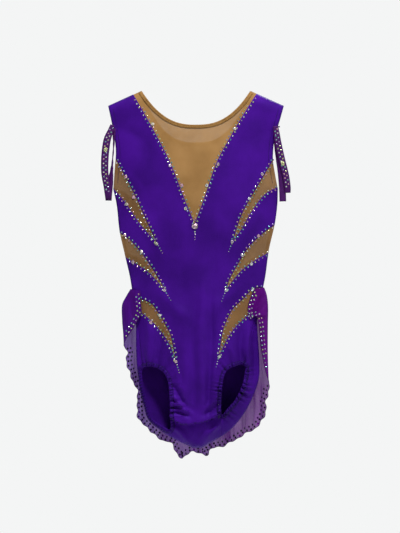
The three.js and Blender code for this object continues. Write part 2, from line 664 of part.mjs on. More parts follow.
addBodyPanels();
addMeshInserts();
addBindings();
addFacings();
addSeams();
addSkirt();
addArmBands();
addStones();

export default leotard;
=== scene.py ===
"""A rhythmic-gymnastics leotard: satin stretch panels, sheer inserts, a sheer skirt and crystals.

Lengths inside the classes are millimetres in the frame's axes: +Z up, +X to the right, the front
faces -Y. Meshes are written in metres. The origin lies between the neck ends of the shoulders.
"""

from __future__ import annotations

import logging
import math
from dataclasses import dataclass, field
from enum import Enum
from typing import Callable, Iterable, Sequence

import bmesh
import bpy
import numpy as np
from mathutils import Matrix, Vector, geometry, kdtree


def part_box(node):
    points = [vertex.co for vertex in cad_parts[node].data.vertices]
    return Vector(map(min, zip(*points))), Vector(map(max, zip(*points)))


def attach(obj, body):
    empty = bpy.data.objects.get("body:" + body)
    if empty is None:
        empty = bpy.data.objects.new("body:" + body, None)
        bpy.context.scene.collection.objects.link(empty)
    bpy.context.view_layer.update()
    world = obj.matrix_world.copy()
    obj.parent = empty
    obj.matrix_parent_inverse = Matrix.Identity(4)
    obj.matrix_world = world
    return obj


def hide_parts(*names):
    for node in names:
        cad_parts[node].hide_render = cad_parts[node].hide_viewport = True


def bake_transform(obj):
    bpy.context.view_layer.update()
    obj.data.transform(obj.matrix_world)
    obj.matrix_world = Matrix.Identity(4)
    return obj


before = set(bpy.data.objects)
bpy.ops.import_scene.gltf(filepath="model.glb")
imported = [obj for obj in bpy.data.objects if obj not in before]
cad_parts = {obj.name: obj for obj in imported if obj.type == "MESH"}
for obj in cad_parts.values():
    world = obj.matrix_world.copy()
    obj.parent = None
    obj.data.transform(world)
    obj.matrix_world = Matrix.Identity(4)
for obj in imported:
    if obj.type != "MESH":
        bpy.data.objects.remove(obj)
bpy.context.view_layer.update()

log = logging.getLogger("leotard")

MM = 0.001
Point = tuple[float, float]


def corners(node: str) -> tuple[np.ndarray, np.ndarray]:
    """A CAD node's lowest and highest corners.

    Args:
        node: the node's name.

    Returns:
        The two corners, in millimetres.
    """
    low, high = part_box(node)
    return np.array(low) / MM, np.array(high) / MM


# ---- Curves and outlines --------------------------------------------------------------------


class Profile:
    """A smooth function of one number, through stations."""

    def __init__(self, stations: Iterable[Point]) -> None:
        """Keeps the stations.

        Args:
            stations: (at, value) pairs, in any order.
        """
        data = np.array(sorted(stations), float)
        self.at, self.value = data[:, 0], data[:, 1]
        self.slope = np.gradient(self.value, self.at)

    def __call__(self, at: np.ndarray | float) -> np.ndarray:
        """The value at one place or many, held level past the end stations."""
        at = np.asarray(at, float)
        i = np.clip(np.searchsorted(self.at, at) - 1, 0, len(self.at) - 2)
        span = self.at[i + 1] - self.at[i]
        t = np.clip((at - self.at[i]) / span, 0, 1)
        t2, t3 = t * t, t * t * t
        return (
            (2 * t3 - 3 * t2 + 1) * self.value[i]
            + (t3 - 2 * t2 + t) * span * self.slope[i]
            + (3 * t2 - 2 * t3) * self.value[i + 1]
            + (t3 - t2) * span * self.slope[i + 1]
        )


def smoothstep(t: np.ndarray) -> np.ndarray:
    """0 below 0, 1 above 1 and a soft step between."""
    t = np.clip(t, 0, 1)
    return t * t * (3 - 2 * t)


def evenly(points: np.ndarray, pitch: float, closed: bool = False) -> np.ndarray:
    """Points at an even pitch along a polyline.

    Args:
        points: the polyline's points, one a row.
        pitch: the wanted distance between points.
        closed: whether the last point joins the first.

    Returns:
        The new points. An open line keeps both its ends.
    """
    if closed:
        points = np.vstack([points, points[:1]])
    steps = np.linalg.norm(np.diff(points, axis=0), axis=1)
    along = np.concatenate([[0], np.cumsum(steps)])
    count = max(2, int(round(along[-1] / pitch)) + 1)
    at = np.linspace(0, along[-1], count)
    line = np.stack([np.interp(at, along, points[:, k]) for k in range(points.shape[1])], 1)
    return line[:-1] if closed else line


def smooth_line(points: Sequence[Sequence[float]], pitch: float, closed: bool = False) -> np.ndarray:
    """A smooth line through points, resampled evenly.

    Args:
        points: the points that it passes through.
        pitch: the distance between the new points.
        closed: whether the line closes on itself.

    Returns:
        The line's points, one a row.
    """
    p = np.array(points, float)
    count = len(p)
    out = []
    for i in range(count if closed else count - 1):
        if closed:
            a, b, c, d = (p[(i + k - 1) % count] for k in range(4))
        else:
            a, b, c, d = (p[min(max(i + k - 1, 0), count - 1)] for k in range(4))
        t = np.linspace(0, 1, 16, endpoint=False)[:, None]
        out.append(
            0.5 * (2 * b + (c - a) * t + (2 * a - 5 * b + 4 * c - d) * t**2
                   + (3 * b - a - 3 * c + d) * t**3)
        )
    if not closed:
        out.append(p[-1:])
    return evenly(np.vstack(out), pitch, closed)


def left_normals(line: np.ndarray, closed: bool = False) -> np.ndarray:
    """Unit normals to the left of a plane line's direction."""
    if closed:
        along = np.roll(line, -1, 0) - np.roll(line, 1, 0)
    else:
        along = np.gradient(line, axis=0)
    along /= np.maximum(np.linalg.norm(along, axis=1, keepdims=True), 1e-9)
    return np.stack([-along[:, 1], along[:, 0]], 1)


def winding(outline: np.ndarray) -> float:
    """The signed area of a closed outline: above 0 when it turns to the left."""
    x, z = outline[:, 0], outline[:, 1]
    return 0.5 * float(np.sum(x * np.roll(z, -1) - np.roll(x, -1) * z))


def outward(line: np.ndarray) -> np.ndarray:
    """A closed outline's unit normals, pointing away from its inside."""
    return -left_normals(line, True) * math.copysign(1.0, winding(line))


def inside(outline: np.ndarray, points: np.ndarray) -> np.ndarray:
    """Which points lie inside a closed outline."""
    x, z = points[:, 0], points[:, 1]
    result = np.zeros(len(points), bool)
    for (x0, z0), (x1, z1) in zip(outline, np.roll(outline, -1, 0)):
        if z0 == z1:
            continue
        crosses = (z0 > z) != (z1 > z)
        result ^= crosses & (x < (x1 - x0) * (z - z0) / (z1 - z0) + x0)
    return result


def distance_to(lines: Sequence[np.ndarray], points: np.ndarray) -> np.ndarray:
    """How far each point lies from the nearest point of any of the lines."""
    marks = np.vstack([evenly(line, 1.0) for line in lines])
    tree = kdtree.KDTree(len(marks))
    for i, (x, z) in enumerate(marks):
        tree.insert((x, z, 0), i)
    tree.balance()
    return np.array([tree.find((x, z, 0))[2] for x, z in points])


def smallest_rectangle(points: np.ndarray) -> tuple[float, float]:
    """The sides of the smallest rectangle that holds the points, the longer one last."""
    best = (math.inf, 0.0, 0.0)
    for angle in np.radians(np.arange(0, 90, 3)):
        turn = np.array([[math.cos(angle), -math.sin(angle)], [math.sin(angle), math.cos(angle)]])
        low, high = (points @ turn).min(0), (points @ turn).max(0)
        a, b = high - low
        best = min(best, (a * b, min(a, b), max(a, b)))
    return best[1], best[2]


# ---- Shader and mesh tools ------------------------------------------------------------------


@dataclass(frozen=True)
class Term:
    """A shader socket that Python's operators work on."""

    graph: "Graph"
    socket: bpy.types.NodeSocket

    def _math(self, operation: str, *values: "Term | float") -> "Term":
        """A Math node on this graph."""
        inputs = dict(enumerate(values))
        return self.graph.node("ShaderNodeMath", {"operation": operation}, inputs)[0]

    def __add__(self, other: "Term | float") -> "Term":
        """The sum."""
        return self._math("ADD", self, other)

    __radd__ = __add__

    def __mul__(self, other: "Term | float") -> "Term":
        """The product."""
        return self._math("MULTIPLY", self, other)

    __rmul__ = __mul__

    def __sub__(self, other: "Term | float") -> "Term":
        """The difference."""
        return self._math("SUBTRACT", self, other)

    def __rsub__(self, other: "Term | float") -> "Term":
        """The difference, with this term taken away."""
        return self._math("SUBTRACT", other, self)

    def __pow__(self, other: float) -> "Term":
        """The power."""
        return self._math("POWER", self, other)

    def sin(self) -> "Term":
        """The sine."""
        return self._math("SINE", self)

    def abs(self) -> "Term":
        """The absolute value."""
        return self._math("ABSOLUTE", self)

    def max(self, other: "Term | float") -> "Term":
        """The larger of the two."""
        return self._math("MAXIMUM", self, other)

    def min(self, other: "Term | float") -> "Term":
        """The smaller of the two."""
        return self._math("MINIMUM", self, other)

    def between(self, low: float, high: float) -> "Term":
        """0 at low, 1 at high, held at both ends."""
        settings = {"clamp": True}
        return self.graph.node("ShaderNodeMapRange", settings, {0: self, 1: low, 2: high})[0]


class Graph:
    """A material's node tree, built in code."""

    def __init__(self, name: str) -> None:
        """Starts a material with a Principled shader.

        Args:
            name: the material's name.
        """
        self.material = bpy.data.materials.new(name)
        self.material.use_nodes = True
        self.tree = self.material.node_tree
        self.tree.nodes.clear()
        self.out = self.tree.nodes.new("ShaderNodeOutputMaterial")
        self.shader = self.tree.nodes.new("ShaderNodeBsdfPrincipled")
        self.tree.links.new(self.shader.outputs[0], self.out.inputs[0])

    def put(self, socket: bpy.types.NodeSocket, value: object) -> None:
        """Links a term to a socket, or sets the socket's own value."""
        if isinstance(value, Term):
            self.tree.links.new(value.socket, socket)
        else:
            socket.default_value = value

    def node(self, kind: str, settings: dict[str, object] | None = None,
             inputs: dict[int | str, object] | None = None) -> list[Term]:
        """Adds a node.

        Args:
            kind: the node's type.
            settings: its properties, set before its sockets.
            inputs: values or terms for its sockets, by index or name.

        Returns:
            A term for each of its output sockets.
        """
        made = self.tree.nodes.new(kind)
        for name, value in (settings or {}).items():
            setattr(made, name, value)
        for key, value in (inputs or {}).items():
            self.put(made.inputs[key], value)
        return [Term(self, socket) for socket in made.outputs]

    def set(self, **values: object) -> None:
        """Sets the Principled shader's sockets, named with underscores for spaces."""
        for name, value in values.items():
            self.put(self.shader.inputs[name.replace("_", " ")], value)

    def place(self) -> tuple[Term, Term, Term, Term]:
        """Object coordinates in metres: the vector, then x, y and z."""
        vector = self.node("ShaderNodeTexCoord")[3]
        return vector, *self.node("ShaderNodeSeparateXYZ", None, {0: vector})

    def noise(self, scale: float, detail: float = 2.0, vector: Term | None = None) -> Term:
        """A noise value about 0.5, whose features are about 1 / scale metres."""
        vector = vector or self.place()[0]
        inputs = {"Vector": vector, "Scale": scale, "Detail": detail}
        return self.node("ShaderNodeTexNoise", None, inputs)[0]

    def mix(self, share: Term | float, a: Sequence[float] | Term, b: Sequence[float] | Term) -> Term:
        """A blend of two colours."""
        inputs = {0: share, 6: a, 7: b}
        return self.node("ShaderNodeMix", {"data_type": "RGBA"}, inputs)[2]

    def bump(self, height: Term, distance: float, strength: float = 1.0) -> None:
        """Feeds a height into the shader's normal."""
        inputs = {"Height": height, "Distance": distance, "Strength": strength}
        self.set(Normal=self.node("ShaderNodeBump", None, inputs)[0])


def srgb(code: str, alpha: float = 1.0) -> tuple[float, float, float, float]:
    """A linear colour from six hexadecimal digits."""
    parts = [int(code[i : i + 2], 16) / 255 for i in (0, 2, 4)]
    linear = [c / 12.92 if c <= 0.04045 else ((c + 0.055) / 1.055) ** 2.4 for c in parts]
    return (*linear, alpha)


def make_mesh(name: str, points: np.ndarray, faces: Sequence[Sequence[int]],
              materials: Sequence[bpy.types.Material], smooth: bool = True) -> bpy.types.Object:
    """A mesh object from points in millimetres.

    Args:
        name: the object's name.
        points: the vertices, in millimetres.
        faces: the vertex indices of each face.
        materials: its material slots.
        smooth: whether its faces are shaded smooth.

    Returns:
        The object, linked to the scene.
    """
    mesh = bpy.data.meshes.new(name)
    mesh.from_pydata((np.asarray(points) * MM).tolist(), [], [tuple(map(int, f)) for f in faces])
    mesh.validate()
    mesh.polygons.foreach_set("use_smooth", [smooth] * len(mesh.polygons))
    for material in materials:
        mesh.materials.append(material)
    made = bpy.data.objects.new(name, mesh)
    bpy.context.scene.collection.objects.link(made)
    return made


def thicken(piece: bpy.types.Object, thickness: float, lining: int = 0) -> None:
    """Gives a sheet a thickness, half to each side, with another slot on its inner face."""
    wall = piece.modifiers.new("wall", "SOLIDIFY")
    wall.thickness = thickness * MM
    wall.offset = 0
    wall.material_offset = lining
    wall.use_quality_normals = True


def finish_piece(piece: bpy.types.Object, replaced: Sequence[str] = (),
                 body: str | None = "root") -> bpy.types.Object:
    """Attaches a piece to its body, hides the CAD nodes that it replaces and logs its face count.

    Args:
        piece: the finished object.
        replaced: the CAD nodes that it stands for.
        body: the CAD body that it rides on, or None to leave it unattached.

    Returns:
        The piece.
    """
    if body:
        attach(piece, body)
    if replaced:
        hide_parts(*replaced)
    count = len(piece.data.polygons)
    log.info("%s: %d faces on %s, for %s", piece.name, count, body or "two bodies", replaced)
    return piece


# ---- The form of the hanging leotard --------------------------------------------------------

NECK_HALF = 102.0
SHOULDER_HALF = 163.5
SHOULDER_FALL = 28.0
UNDERARM, WAIST, HIP, CROTCH = -183.0, -350.0, -478.0, -665.0
FOLD_HEIGHT = 20.0
WRAP_LEVEL = -420.0


def shoulder_line(x: np.ndarray) -> np.ndarray:
    """The height of the shoulder seam at x."""
    return -SHOULDER_FALL * np.maximum(0, (np.abs(x) - NECK_HALF) / (SHOULDER_HALF - NECK_HALF))


LEFT_SIDE = Profile([
    (0, -190), (-60, -174), (-183, -154), (-205, -149), (-265, -141.7), (-309, -131.6),
    (-349, -122.5), (-371, -119), (-430, -112), (-480, -111.5), (-520, -109), (-544, -104),
    (-578, -97), (-600, -90), (-621, -78), (-641, -53), (-655, -27), (-663, -9), (-667, -3),
])
RIGHT_SIDE = Profile([
    (0, 190), (-60, 174), (-183, 152.5), (-205, 152), (-247, 147), (-296, 136), (-349, 128.5),
    (-371, 124), (-422, 114), (-466, 116), (-500, 118), (-541, 116), (-567, 107), (-600, 90),
    (-622, 73), (-637, 57), (-650, 36), (-660, 19), (-667, 6),
])


class Side(Enum):
    """Which half of the garment a face belongs to, as the sign of its Y."""

    FRONT = -1
    BACK = 1


@dataclass(frozen=True)
class Crease:
    """A long soft ridge or valley in the cloth, along a line in the front view."""

    start: Point
    end: Point
    half: float
    height: float
    fade: float = 0.28

    def lift(self, x: np.ndarray, z: np.ndarray) -> np.ndarray:
        """How far it moves the cloth outwards at each place."""
        (x0, z0), (x1, z1) = self.start, self.end
        length = math.hypot(x1 - x0, z1 - z0)
        ux, uz = (x1 - x0) / length, (z1 - z0) / length
        along = ((x - x0) * ux + (z - z0) * uz) / length
        bend = self.half * 0.35 * np.sin(along * 5.3 + x0)
        across = -(x - x0) * uz + (z - z0) * ux + bend
        ends = smoothstep((along + self.fade) / (2 * self.fade))
        ends = ends * smoothstep((1 + self.fade - along) / (2 * self.fade))
        return self.height * ends * np.exp(-((across / self.half) ** 2))


@dataclass(frozen=True)
class Gathers:
    """Radial puckers in the cloth outside an elasticated rim."""

    rim: np.ndarray
    pitch: float
    height: float
    reach: float
    seed: int
    middle: Point = (0.0, 0.0)
    spread: float = 400.0

    def lift(self, x: np.ndarray, z: np.ndarray) -> np.ndarray:
        """How far they move the cloth outwards at each place."""
        marks = evenly(self.rim, 3.0, True)
        near = np.full(x.shape, 1e9)
        which = np.zeros(x.shape, int)
        for i, (mx, mz) in enumerate(marks):
            gap = (x - mx) ** 2 + (z - mz) ** 2
            closer = gap < near
            near[closer], which[closer] = gap[closer], i
        distance = np.sqrt(near)
        rng = np.random.default_rng(self.seed)
        around = np.arange(len(marks)) * 3.0
        phase = around * 2 * np.pi / self.pitch
        for turns in (2, 3, 5, 7):
            angle = 2 * np.pi * turns * np.arange(len(marks)) / len(marks)
            phase = phase + rng.uniform(0.5, 1.4) * np.sin(angle + rng.uniform(0, 6))
        size = 0.55 + 0.45 * np.sin(np.arange(len(marks)) * 0.37 + rng.uniform(0, 6))
        local = np.exp(-((x - self.middle[0]) ** 2 + (z - self.middle[1]) ** 2) / self.spread**2)
        wave = np.sin(phase)[which] * size[which]
        return self.height * wave * local * np.exp(-((distance / self.reach) ** 2))


LEG_RIMS = {
    "left": smooth_line([
        (-100, -520), (-91, -513.5), (-80, -513.5), (-62, -522), (-52, -541), (-48.5, -578),
        (-48.5, -604), (-48, -629), (-66, -622), (-83, -608), (-91, -581), (-98, -552),
    ], 2.2, True),
    "right": smooth_line([
        (90, -512), (71, -512.5), (56, -522), (49.5, -544), (47, -578), (48, -602), (60, -589),
        (73.5, -573), (86.5, -545),
    ], 2.2, True),
}

GUSSET_HALF = 43.0
GUSSET_BACK_TOP = -587.0
GUSSET_FRONT = smooth_line([
    (-GUSSET_HALF - 3, -606), (-36, -615), (-25, -619), (-2, -617), (21, -613), (34, -607),
    (GUSSET_HALF + 3, -600),
], 2.0)


@dataclass(frozen=True)
class Lip:
    """A line where the cloth above hangs over the cloth below."""

    line: np.ndarray
    over: float
    under: float
    reach: float

    def lift(self, x: np.ndarray, z: np.ndarray) -> np.ndarray:
        """How far it moves the cloth outwards at each place."""
        level = np.interp(x, self.line[:, 0], self.line[:, 1])
        past = np.maximum(0, np.abs(x) - self.line[-1, 0]) / 8
        above, below = (z - level) / self.reach, (level - z) / (self.reach * 0.8)
        lift = np.where(z >= level, self.over * np.exp(-(above**2)), -self.under * np.exp(-(below**2)))
        return lift * np.exp(-(past**2))


FRONT_CREASES = (
    Crease((12, -360), (12, -615), 7.5, 4.6),
    Crease((28, -395), (24, -600), 6.0, -6.0),
    Crease((-22, -490), (-19, -604), 7.0, 3.4),
    Crease((-5, -440), (-6, -605), 6.5, -3.2),
    Crease((-108, -430), (-103, -510), 3.6, -7.0),
    Crease((-91, -425), (-86, -506), 7.0, 5.4),
    Crease((-66, -448), (-70, -514), 5.5, -5.4),
    Crease((-48, -500), (-62, -524), 5.0, -3.0),
    Crease((113, -424), (107, -536), 4.2, -9.0),
    Crease((98, -412), (98, -512), 6.0, 6.2),
    Crease((80, -440), (86, -512), 5.5, -5.6),
    Crease((64, -470), (72, -512), 5.0, 3.0),
    Crease((-104, -215), (-50, -330), 10.0, 2.2),
    Crease((112, -230), (62, -345), 10.0, 2.2),
    Crease((-70, -372), (-18, -424), 10.0, 2.4),
    Crease((74, -368), (30, -414), 10.0, 2.2),
    Crease((-31, -262), (-26, -380), 9.0, -1.5),
    Crease((38, -270), (31, -372), 9.0, -1.3),
    Crease((-46, -545), (-12, -590), 4.6, -4.4),
    Crease((-46, -566), (-8, -602), 4.2, 3.8),
    Crease((-44, -590), (-10, -606), 4.0, -3.8),
    Crease((-40, -520), (-22, -560), 6.0, 1.8),
    Crease((46, -556), (18, -592), 4.6, 3.2),
    Crease((46, -582), (14, -604), 4.2, -4.0),
    Crease((-40, -628), (-8, -652), 4.5, 4.0),
    Crease((42, -618), (16, -650), 4.5, 4.2),
    Crease((2, -622), (0, -655), 6.0, -2.6),
    Crease((22, -622), (10, -648), 4.0, 2.2),
    Crease((-22, -626), (-14, -650), 4.0, -2.0),
    Crease((-130, -150), (-92, -204), 7.0, 1.2),
    Crease((128, -150), (96, -200), 7.0, 1.2),
    Crease((-150, -60), (-98, -96), 9.0, -0.9),
    Crease((148, -62), (100, -98), 9.0, -0.9),
)
BACK_CREASES = (
    Crease((-30, -310), (-24, -380), 11.0, 1.2),
    Crease((34, -300), (22, -382), 11.0, 1.0),
    Crease((0, -400), (4, -580), 8.0, -1.8),
    Crease((-46, -420), (-30, -590), 11.0, 1.4),
    Crease((52, -410), (30, -590), 11.0, 1.3),
    Crease((-78, -450), (-50, -600), 9.0, -1.2),
    Crease((86, -440), (54, -596), 9.0, -1.2),
    Crease((-92, -235), (-60, -320), 9.0, 0.9),
    Crease((94, -235), (60, -320), 9.0, 0.9),
)


class Face:
    """The front or the back cloth, as a height over the middle plane for each x and z."""

    def __init__(self, side: Side, depths: dict[str, float], folds: Sequence[Crease | Gathers],
                 seed: int) -> None:
        """Keeps the curves.

        Args:
            side: the front or the back.
            depths: how far the cloth stands out at the shoulder, chest, waist and hip.
            folds: the creases and gathers in it.
            seed: the seed of its slight unevenness.
        """
        self.side = side
        self.depth = Profile([
            (0, depths["shoulder"]), (UNDERARM, depths["chest"]),
            (WAIST, depths["waist"]), (HIP, depths["hip"]),
        ])
        self.folds = folds
        rng = np.random.default_rng(seed)
        angle = rng.uniform(0, 2 * np.pi, 9)
        length = rng.uniform(26, 80, 9)
        self.waves = np.stack([np.cos(angle), np.sin(angle) * 0.6, length, rng.uniform(0, 6, 9)], 1)

    def across(self, x: np.ndarray, z: np.ndarray) -> np.ndarray:
        """Where x lies between the side lines: -1 on the left one and 1 on the right one."""
        low, high = LEFT_SIDE(z), RIGHT_SIDE(z)
        return (2 * x - low - high) / np.maximum(high - low, 12)

    def height(self, x: np.ndarray, z: np.ndarray) -> np.ndarray:
        """How far the middle of the cloth stands from the middle plane."""
        u = self.across(x, z)
        round_side = np.clip(1 - u * u, 0, None)
        below = np.clip((shoulder_line(x) - z) / FOLD_HEIGHT, 0, 1)
        fold = np.sqrt(1 - (1 - below) ** 2)
        low = np.clip((z - HIP) / (CROTCH - HIP), 0, 1)
        seat = np.sqrt(1 - low * low)
        base = self.depth(z) * round_side * fold * seat
        edge = np.clip(round_side * 3.2, 0, 1) * fold * np.clip(seat * 1.6, 0, 1)
        lift = np.zeros(np.shape(x))
        for kx, kz, length, phase in self.waves:
            lift = lift + 0.22 * np.sin((x * kx + z * kz) * 2 * np.pi / length + phase)
        for item in self.folds:
            lift = lift + item.lift(x, z)
        return 0.46 + base + lift * edge

    def point(self, x: np.ndarray, z: np.ndarray, lift: np.ndarray | float = 0.0) -> np.ndarray:
        """The point over (x, z), moved outwards by lift along Y."""
        x, z = np.asarray(x, float), np.asarray(z, float)
        return np.stack([x, self.side.value * (self.height(x, z) + lift), z], -1)

    def normal(self, x: np.ndarray, z: np.ndarray) -> np.ndarray:
        """The outward unit normal over (x, z), kept from turning edge-on at the borders."""
        step = 0.8
        dx = (self.height(x + step, z) - self.height(x - step, z)) / (2 * step)
        dz = (self.height(x, z + step) - self.height(x, z - step)) / (2 * step)
        slope = np.maximum(1.0, np.hypot(dx, dz) / 1.8)
        normal = np.stack([-dx / slope, np.full(np.shape(x), float(self.side.value)), -dz / slope], -1)
        return normal / np.linalg.norm(normal, axis=-1, keepdims=True)

    def raised(self, line: np.ndarray, lift: float) -> np.ndarray:
        """Points over a line, moved out by lift along the normal."""
        x, z = line[:, 0], line[:, 1]
        return self.point(x, z) + self.normal(x, z) * lift


FRONT = Face(
    Side.FRONT, {"shoulder": 26.4, "chest": 34.4, "waist": 27.4, "hip": 34.4},
    (*FRONT_CREASES, Lip(GUSSET_FRONT, 7.5, 5.5, 15.0),
     Gathers(LEG_RIMS["left"], 8.5, 1.5, 13, 3),
     Gathers(LEG_RIMS["right"], 7.0, 1.3, 13, 8),
     Gathers(LEG_RIMS["right"], 8.0, 7.5, 24, 4, (84, -568), 40),
     Gathers(LEG_RIMS["left"], 9.5, 5.4, 24, 5, (-36, -585), 34),
     Gathers(LEG_RIMS["left"], 9.0, 3.0, 24, 9, (-80, -505), 30),
     Gathers(LEG_RIMS["right"], 9.0, 3.0, 24, 10, (70, -500), 30)), 11,
)
BACK = Face(
    Side.BACK, {"shoulder": 24.4, "chest": 31.4, "waist": 27.4, "hip": 43.4}, BACK_CREASES, 23,
)


# ---- The lines that the cloth is cut along --------------------------------------------------


def neckline(depth: float, power: float) -> np.ndarray:
    """The neck edge from the left shoulder to the right one."""
    x = np.linspace(-NECK_HALF, NECK_HALF, 160)
    return evenly(np.stack([x, -depth * (1 - np.abs(x / NECK_HALF) ** power)], 1), 2.5)


FRONT_NECK = neckline(65, 2.5)
BACK_NECK = neckline(95, 2.7)
LEFT_ARMHOLE = smooth_line([
    (-163.5, -28), (-157, -58), (-150.5, -95), (-149, -118), (-151, -140), (-154, -183),
], 2.5)
RIGHT_ARMHOLE = smooth_line([
    (163.5, -28), (155, -58), (147, -84), (143.5, -112), (144, -135), (152.5, -183),
], 2.5)


@dataclass(frozen=True)
class Slash:
    """A tapered mesh insert that runs in from the side seam or the armhole to a tip."""

    upper: tuple[Point, ...]
    lower: tuple[Point, ...]

    def edges(self, pitch: float) -> list[np.ndarray]:
        """The upper edge from the side to the tip, and the lower one from the tip to the side."""
        return [smooth_line(self.upper, pitch), smooth_line(self.lower, pitch)]

    def outline(self) -> np.ndarray:
        """Its closed outline, carried out past the garment's edge."""
        upper, lower = self.edges(3.0)
        sign = math.copysign(1.0, upper[0][0])
        out = [lower[-1] + (40 * sign, 8), upper[0] + (40 * sign, 14)]
        return np.vstack([upper, lower[1:], out])


FRONT_SLASHES = {
    "left_upper": Slash(
        ((-149, -127), (-128, -166), (-111, -199), (-93, -239), (-72.5, -283)),
        ((-72.5, -283), (-85, -270), (-108.7, -242), (-129.5, -211), (-154.5, -181))),
    "left_middle": Slash(
        ((-142, -264), (-122, -278), (-101, -302), (-82.6, -328), (-66.7, -354), (-57.8, -371)),
        ((-57.8, -371), (-77, -349), (-93, -334), (-114, -321), (-132.5, -309))),
    "left_lower": Slash(
        ((-113, -384), (-92, -391), (-79.6, -399), (-66, -419), (-54.8, -438), (-45.7, -458.5),
         (-36.9, -503)),
        ((-36.9, -503), (-41, -492), (-50, -470), (-66, -447), (-84, -427), (-101, -414), (-114, -409))),
    "right_upper": Slash(
        ((143.5, -128), (120, -168), (98, -205), (82, -237), (68.6, -279)),
        ((68.6, -279), (85, -257), (103, -225.5), (127, -194), (152.5, -179))),
    "right_middle": Slash(
        ((147, -249), (121, -268), (95, -294.5), (74.6, -328), (61.5, -352), (55.5, -371)),
        ((55.5, -371), (66.5, -356), (85, -334), (111, -315), (136, -301))),
    "right_lower": Slash(
        ((125, -366), (105.7, -369), (86.5, -388), (69.5, -404.5), (57.8, -425), (49.2, -449),
         (42.5, -492)),
        ((42.5, -492), (49.2, -479), (60.4, -457), (76.4, -436), (95, -419), (104, -404), (117, -397))),
}
BACK_SLASHES = {
    f"{side}_{level}": Slash(
        tuple((sign * x, z) for x, z in upper), tuple((sign * x, z) for x, z in lower))
    for side, sign in (("left", -1), ("right", 1))
    for level, upper, lower in (
        ("upper", ((148, -127), (124, -166), (98, -222)), ((98, -222), (126, -194), (153.5, -180))),
        ("middle", ((145, -250), (108, -278), (84, -330)), ((84, -330), (104, -312), (134, -301))),
        ("lower", ((121, -367), (94, -388), (78, -440)), ((78, -440), (94, -420), (115, -408))),
    )
}


def vee(left: Sequence[Point], right: Sequence[Point]) -> tuple[np.ndarray, np.ndarray]:
    """A deep V from its left shoulder end to the tip, and from the tip to the right one."""
    return smooth_line(left, 2.5), smooth_line(right[::-1], 2.5)


FRONT_VEE = vee(
    ((-116.5, -7), (-83, -66), (-47, -136), (-22.4, -199), (-2.5, -248)),
    ((113.7, -4), (85, -50), (60, -93), (37.5, -136), (15.7, -199), (-2.5, -248)),
)
BACK_VEE = vee(
    ((-119, -8), (-92, -80), (-52, -168), (-22, -240), (0, -290)),
    ((119, -8), (92, -80), (52, -168), (22, -240), (0, -290)),
)


def garment_outline(neck: np.ndarray) -> np.ndarray:
    """The closed outline of a face, with its own neckline."""
    z = np.linspace(UNDERARM - 2.5, -664.5, 150)
    left = evenly(np.stack([LEFT_SIDE(z) + 0.1, z], 1), 2.5)
    right = evenly(np.stack([RIGHT_SIDE(z) - 0.1, z], 1), 2.5)
    shoulders = [np.linspace((s * NECK_HALF, 0.0), (s * SHOULDER_HALF, -SHOULDER_FALL), 25)[1:-1]
                 for s in (-1, 1)]
    return np.vstack([
        neck, shoulders[1], RIGHT_ARMHOLE, right, left[::-1], LEFT_ARMHOLE[::-1], shoulders[0][::-1],
    ])


def vee_outline(edges: tuple[np.ndarray, np.ndarray]) -> np.ndarray:
    """The closed area of a V, carried up past the shoulders."""
    down, up = edges
    return np.vstack([down, up[1:], [(up[-1][0] + 14, 26), (down[0][0] - 14, 26)]])




def wrap_outline(side: str) -> np.ndarray:
    """The part of the front view that the back panel wraps round to cover, beside a leg."""
    sign = -1.0 if side == "left" else 1.0
    corner = {"left": (-99, -519), "right": (89, -512)}[side]
    middle = {"left": (-72, -570), "right": (66, -548)}[side]
    low = {"left": (-48, -629), "right": (48, -602)}[side]
    return np.array([
        (sign * 175, WRAP_LEVEL), (sign * 109, WRAP_LEVEL - 6), corner, middle, low,
        (low[0] - sign * 2, CROTCH - 20), (sign * 175, CROTCH - 20),
    ], float)


# ---- Finishes -------------------------------------------------------------------------------


def net_height(x: Term, z: Term, pitch: float) -> Term:
    """The height of a net with holes at a pitch in millimetres, 1 in the middle of a hole."""
    turn = 2 * math.pi / (pitch * MM)
    return (x * turn + z * turn).sin() * (x * turn - z * turn).sin()


@dataclass(frozen=True)
class StretchSatin:
    """The violet four-way stretch knit, satin outside and matt inside."""

    name: str = "stretch satin"
    colour: str = "410d85"
    shade: str = "32086c"
    roughness: float = 0.5

    def build(self) -> bpy.types.Material:
        """Makes the material."""
        g = Graph(self.name)
        _, x, _, z = g.place()
        drift = g.noise(14, 3).between(0.35, 0.65)
        grain = g.noise(900, 2)
        tint = g.mix(drift, srgb(self.shade), srgb(self.colour))
        g.set(Base_Color=g.mix(grain.between(0.3, 0.7) * 0.2, tint, srgb("4e1a9a")))
        g.set(Roughness=self.roughness + (grain - 0.5) * 0.16)
        knit = (x * 5200).sin() * (z * 4300).sin() + g.noise(60, 2) * 3.0
        g.bump(knit, 0.00009, 0.5)
        g.set(Specular_IOR_Level=0.22, Specular_Tint=srgb("9a78ff"))
        return g.material


@dataclass(frozen=True)
class NudeMesh:
    """The tan see-through mesh, with its fine open holes."""

    name: str = "nude mesh"
    colour: str = "a37b49"
    shade: str = "916b3b"
    cover: float = 0.96
    hole: float = 1.15

    def build(self) -> bpy.types.Material:
        """Makes the material."""
        g = Graph(self.name)
        _, x, _, z = g.place()
        drift = g.noise(22, 3).between(0.3, 0.7)
        g.set(Base_Color=g.mix(drift, srgb(self.shade), srgb(self.colour)), Roughness=0.72)
        pores = net_height(x, z, self.hole)
        g.set(Alpha=self.cover - pores.between(0.25, 0.95) * 0.14 + (g.noise(40, 2) - 0.5) * 0.08)
        g.bump(pores, 0.00008, 0.5)
        g.set(Specular_IOR_Level=0.15)
        return g.material


